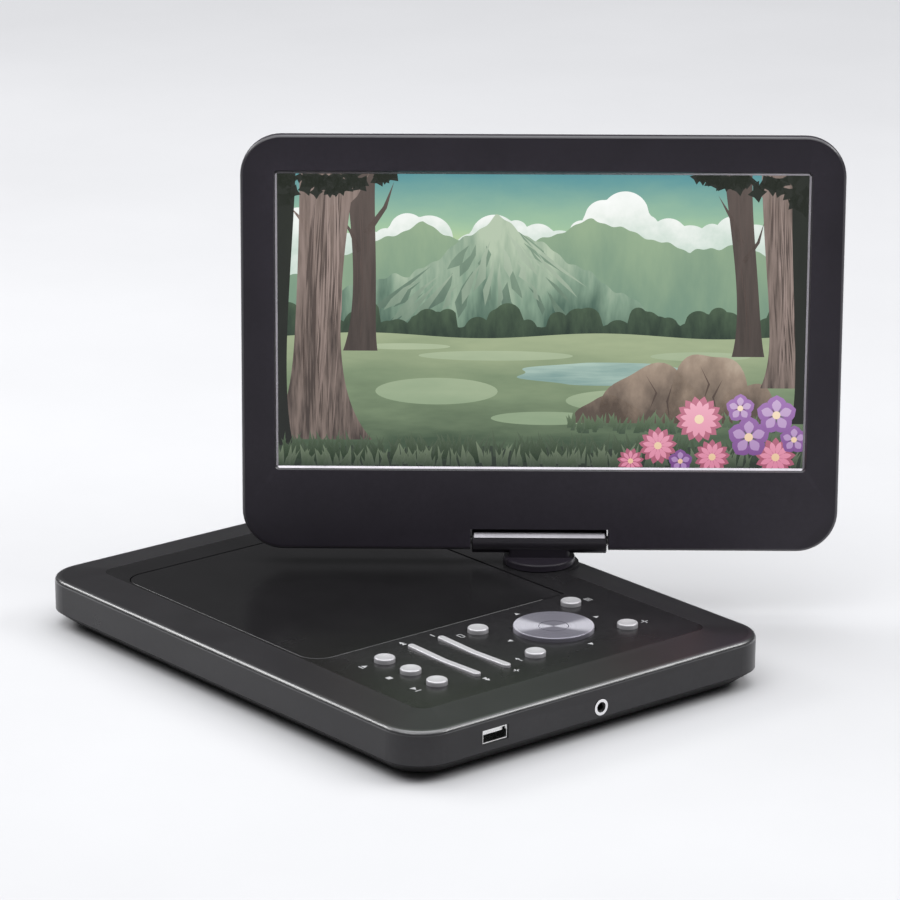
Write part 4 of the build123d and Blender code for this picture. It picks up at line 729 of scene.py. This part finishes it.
def flower(x, y, radius, petals, plump):
    """Round-ended petals about a centre. Plump is a petal's half width against its length."""
    side = [(k / 6, math.sin(math.pi * (k / 6) ** 1.6)) for k in range(1, 6)]
    outline = [(0.0, 0.0)] + side + [(1.0, 0.0)] + [(t, -w) for t, w in reversed(side)]
    petal = [(radius * t, radius * plump * w) for t, w in outline]
    shapes = []
    for i in range(petals):
        turn = 2 * math.pi * (i + 0.25) / petals
        c, s = math.cos(turn), math.sin(turn)
        shapes.append([(x + c * t - s * w, y + s * t + c * w) for t, w in petal])
    return shapes


def flowers(plants, plump, size=1.0, fewer=0):
    """One ring of petals on each plant. A plant is (u, v, radius, petals)."""
    shapes = []
    for x, y, radius, petals in plants:
        shapes += flower(x, y, radius * size, petals - fewer, plump)
    return shapes


def draw_plants():
    """Grass along the bottom, and flowers in the right corner."""
    picture("grass_shade", skyline(lambda u: 8 + 1.5 * math.sin(u * 0.21)))
    picture("grass_back", blades(330, low=3, tall=13, u0=-116, u1=116))
    picture("grass_front", blades(210, low=0, tall=10, u0=-116, u1=116))
    roses = [(70, 22, 10.5, 15), (52, 10, 8.5, 13), (76, 5, 8, 13), (104, 5, 9, 13), (40, 3, 6, 11)]
    violets = [(92, 14, 9.5, 5), (104, 24, 9, 5), (88, 27, 6.5, 5), (62, 3, 5.5, 5), (112, 13, 6.5, 5)]
    picture("rose_backs", flowers(roses, plump=0.20))
    picture("rose_petals", flowers(roses, plump=0.17, size=0.8, fewer=2))
    picture("violets", flowers(violets, plump=0.46))
    picture("violet_petals", flowers(violets, plump=0.30, size=0.78))
    hearts = [ellipse(x, y, radius * 0.2, radius * 0.2, count=12) for x, y, radius, _ in roses + violets]
    picture("flower_hearts", hearts)


# A made-up landscape, from back to front.
draw_sky()
draw_hills()
draw_meadow()
draw_rocks()
draw_trees()
draw_plants()


# ---------------------------------------------------------------- silver edge of the picture opening
def picture_trim(width=1.15, thick=0.5, overlap=0.1):
    """Four mitred bars round the picture, whose face slopes in towards it."""
    outer, inner = FRONT_Y + 0.75, FRONT_Y + 1.6
    half_w, half_h = HALF_VIEW - overlap, VIEW_H / 2 - overlap
    mesh = bmesh.new()
    loops = []
    for grow, depth in ((width, outer), (0.0, inner), (0.0, inner + thick), (width, outer + thick)):
        loop = []
        for across, up in ((-1, -1), (1, -1), (1, 1), (-1, 1)):
            corner = Vector((across * (half_w + grow), depth, VIEW_LOW + VIEW_H / 2 + up * (half_h + grow)))
            loop.append(mesh.verts.new(ON_SCREEN @ corner))
        loops.append(loop)
    join_loops(mesh, loops + loops[:1])
    bmesh.ops.recalc_face_normals(mesh, faces=mesh.faces[:])
    satin = metal("satin_trim", (0.44, 0.42, 0.45), 0.32)
    trim = add_piece("picture_trim", mesh, satin, "screen")
    bevel = trim.modifiers.new("edge", "BEVEL")
    bevel.width = 0.1 * MM
    bevel.segments = 2


picture_trim()


# ---------------------------------------------------------------- latch spring
def latch_coil(radius=1.0, wire=0.2, turns=3.73):
    """The coil behind the door's latch, built at one fixed length; on the player it shortens as the open key
    pushes the slider.
    """
    low, high = node_box("latch_spring")
    length = round(high[0] - low[0] - 2 * wire, 1)
    fixed_end = JOINTS["latch_slide"]["deforming_nodes"][0]["fixed_end_x_m"] / MM
    start = Vector((fixed_end + wire, *(round((low[k] + high[k]) / 2, 1) for k in (1, 2))))
    steps, sides = 96, 8
    mesh = bmesh.new()
    rings = []
    for k in range(steps + 1):
        share = k / steps
        turn = 2 * math.pi * turns * share
        out = Vector((0, math.cos(turn), math.sin(turn)))
        middle_line = start + Vector((length * share, 0, 0)) + out * radius
        ring = []
        for i in range(sides):
            a = 2 * math.pi * i / sides
            point = middle_line + (out * math.cos(a) + Vector((1, 0, 0)) * math.sin(a)) * wire
            ring.append(mesh.verts.new(point * MM))
        rings.append(ring)
    join_loops(mesh, rings)
    for end in (rings[0], rings[-1]):
        mesh.faces.new(end)
    bmesh.ops.recalc_face_normals(mesh, faces=mesh.faces[:])
    piece = add_piece("latch_coil", mesh, MATERIALS["spring_steel"], "base")
    soften(piece)
    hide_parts("latch_spring")
    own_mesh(piece)


latch_coil()


# ---------------------------------------------------------------- printed marks on the base
class Marks:
    """Small flat symbols, each drawn about a place in millimetres. None of them is a letter."""

    def __init__(self):
        self.shapes = []

    def shape(self, x, y, points, turn=0.0):
        c, s = math.cos(math.radians(turn)), math.sin(math.radians(turn))
        self.shapes.append([(x + u * c - v * s, y + u * s + v * c) for u, v in points])

    def bar(self, x, y, w, h):
        self.shape(x, y, [(-w / 2, -h / 2), (w / 2, -h / 2), (w / 2, h / 2), (-w / 2, h / 2)])

    def arrow(self, x, y, size, turn):
        self.shape(x, y, [(-size / 2, -size * 0.55), (size / 2, 0), (-size / 2, size * 0.55)], turn)

    def plus(self, x, y, size, thick):
        self.bar(x, y, size, thick)
        self.bar(x, y, thick, size)


def mark_pad(marks):
    """Arrows round the four-way pad."""
    reach = 24.5
    for turn in (0, 90, 180, 270):
        c, s = math.cos(math.radians(turn)), math.sin(math.radians(turn))
        marks.arrow(NAV[0] + reach * c, NAV[1] + reach * s, 2.4, turn)


def mark_front_keys(marks):
    """Open, stop and play, below the three front keys."""
    x, y = middle("open_key")
    marks.arrow(x, y - 10.4, 2.6, 90)
    marks.bar(x, y - 12.7, 3.2, 0.6)
    x, y = middle("stop_key")
    marks.bar(x, y - 11.4, 2.6, 2.6)
    x, y = middle("play_key")
    marks.arrow(x - 0.8, y - 11.4, 2.8, 0)
    marks.bar(x + 1.8, y - 11.4, 0.6, 3.0)


def mark_corner_keys(marks):
    """Three lines for the menu, a cross for settings, a box for the source, and an arrow for back."""
    x, y = middle("menu_key")
    for k in range(3):
        marks.bar(x, y + 8.8 + 1.1 * k, 3.6, 0.45)
    x, y = middle("setup_key")
    marks.plus(x, y + 9.8, 3.8, 0.5)
    x, y = middle("source_key")
    for side in (-1, 1):
        marks.bar(x, y - 9.4 + side, 4.0, 0.5)
        marks.bar(x + side * 1.8, y - 9.4, 0.5, 2.4)
    x, y = middle("back_key")
    marks.arrow(x - 1.3, y - 9.2, 2.0, 180)
    marks.bar(x + 0.9, y - 9.2, 3.0, 0.6)


def mark_slim_keys(marks):
    """Louder and softer, next and previous, at the ends of the two slim keys."""
    x, y = middle("volume_rocker")
    marks.plus(x + 27.5, y, 3.0, 0.6)
    marks.bar(x - 27.5, y, 3.0, 0.6)
    x, y = middle("skip_rocker")
    for side, turn in ((1, 0), (-1, 180)):
        for reach in (27.0, 28.8):
            marks.arrow(x + side * reach, y, 2.2, turn)


def print_marks():
    marks = Marks()
    for draw in (mark_pad, mark_front_keys, mark_corner_keys, mark_slim_keys):
        draw(marks)
    ink = plastic("pale_print", (0.42, 0.42, 0.43), 0.5, vary=0.1)
    lift = 0.02
    flat_piece("printed_marks", marks.shapes, lambda x, y: ON_BASE @ Vector((x, y, TOP_Z + lift)), ink,
               "base")


print_marks()


# ---------------------------------------------------------------- floor, light and camera
def add_floor():
    n = Nodes("floor_paper")
    tints = {NOISE_LOW: (0.55, 0.55, 0.56), NOISE_HIGH: (0.59, 0.59, 0.60)}
    n.feed(n.ramp(n.noise(3.0, 6.0), tints), "Base Color")
    n.bump(n.noise(900.0), 0.1, 0.00005)
    n.set(Roughness=0.75)
    bpy.ops.mesh.primitive_plane_add(size=14.0, location=(0, 0, -0.1 * MM))
    plane = bpy.context.object
    plane.name = "floor"
    plane.data.materials.append(n.material)


def around(about, az, el, far):
    """A point at an azimuth and elevation round a centre. Azimuth 0 is in front."""
    a, e = math.radians(az), math.radians(el)
    return Vector(about) + far * Vector((math.sin(a) * math.cos(e), -math.cos(a) * math.cos(e), math.sin(e)))


def aim(thing, place, target):
    bpy.context.scene.collection.objects.link(thing)
    thing.location = place
    thing.rotation_euler = (Vector(target) - place).to_track_quat("-Z", "Y").to_euler()


def lamp(name, az, el, far, size, power):
    """A soft rectangular light aimed at the middle of the player."""
    data = bpy.data.lights.new(name, "AREA")
    data.shape = "RECTANGLE"
    data.size, data.size_y = size
    data.energy = power
    light = bpy.data.objects.new(name, data)
    player = (0.0, 0.02, 0.09)
    aim(light, around(player, az, el, far), player)


def studio(low, high):
    """A dim room with a broad bright ceiling, so the floor is lit evenly."""
    world = bpy.data.worlds.new("studio")
    bpy.context.scene.world = world
    world.use_nodes = True
    tree = world.node_tree
    parts = tree.nodes.new("ShaderNodeSeparateXYZ")
    tree.links.new(tree.nodes.new("ShaderNodeTexCoord").outputs["Generated"], parts.inputs["Vector"])
    ceiling = tree.nodes.new("ShaderNodeMapRange")
    for name, value in (("From Min", 0.60), ("From Max", 0.85), ("To Min", low), ("To Max", high)):
        ceiling.inputs[name].default_value = value
    tree.links.new(parts.outputs["Z"], ceiling.inputs["Value"])
    background = tree.nodes["Background"]
    background.inputs["Color"].default_value = (0.97, 0.98, 1.0, 1.0)
    tree.links.new(ceiling.outputs["Result"], background.inputs["Strength"])


def add_camera():
    """A long lens from the front right, slightly above the player."""
    data = bpy.data.cameras.new("camera")
    data.sensor_width = 36.0
    data.lens = 170.0
    data.shift_x, data.shift_y = 0.057, 0.17
    camera = bpy.data.objects.new("camera", data)
    look = (0.0, 0.0, 0.0225)
    aim(camera, around(look, az=51.08, el=19.3, far=1.8515), look)
    bpy.context.scene.camera = camera


add_floor()
lamp("key_light", 15, 52, 1.8, (1.0, 0.8), 4)
lamp("top_light", 200, 75, 1.6, (1.3, 0.7), 3)
lamp("front_rim_light", -63, 35, 1.5, (1.0, 0.4), 9)
lamp("right_rim_light", 139, 38, 1.5, (1.0, 0.4), 9)
studio(0.09, 2.2)
add_camera()
bpy.context.scene.view_settings.view_transform = "Standard"
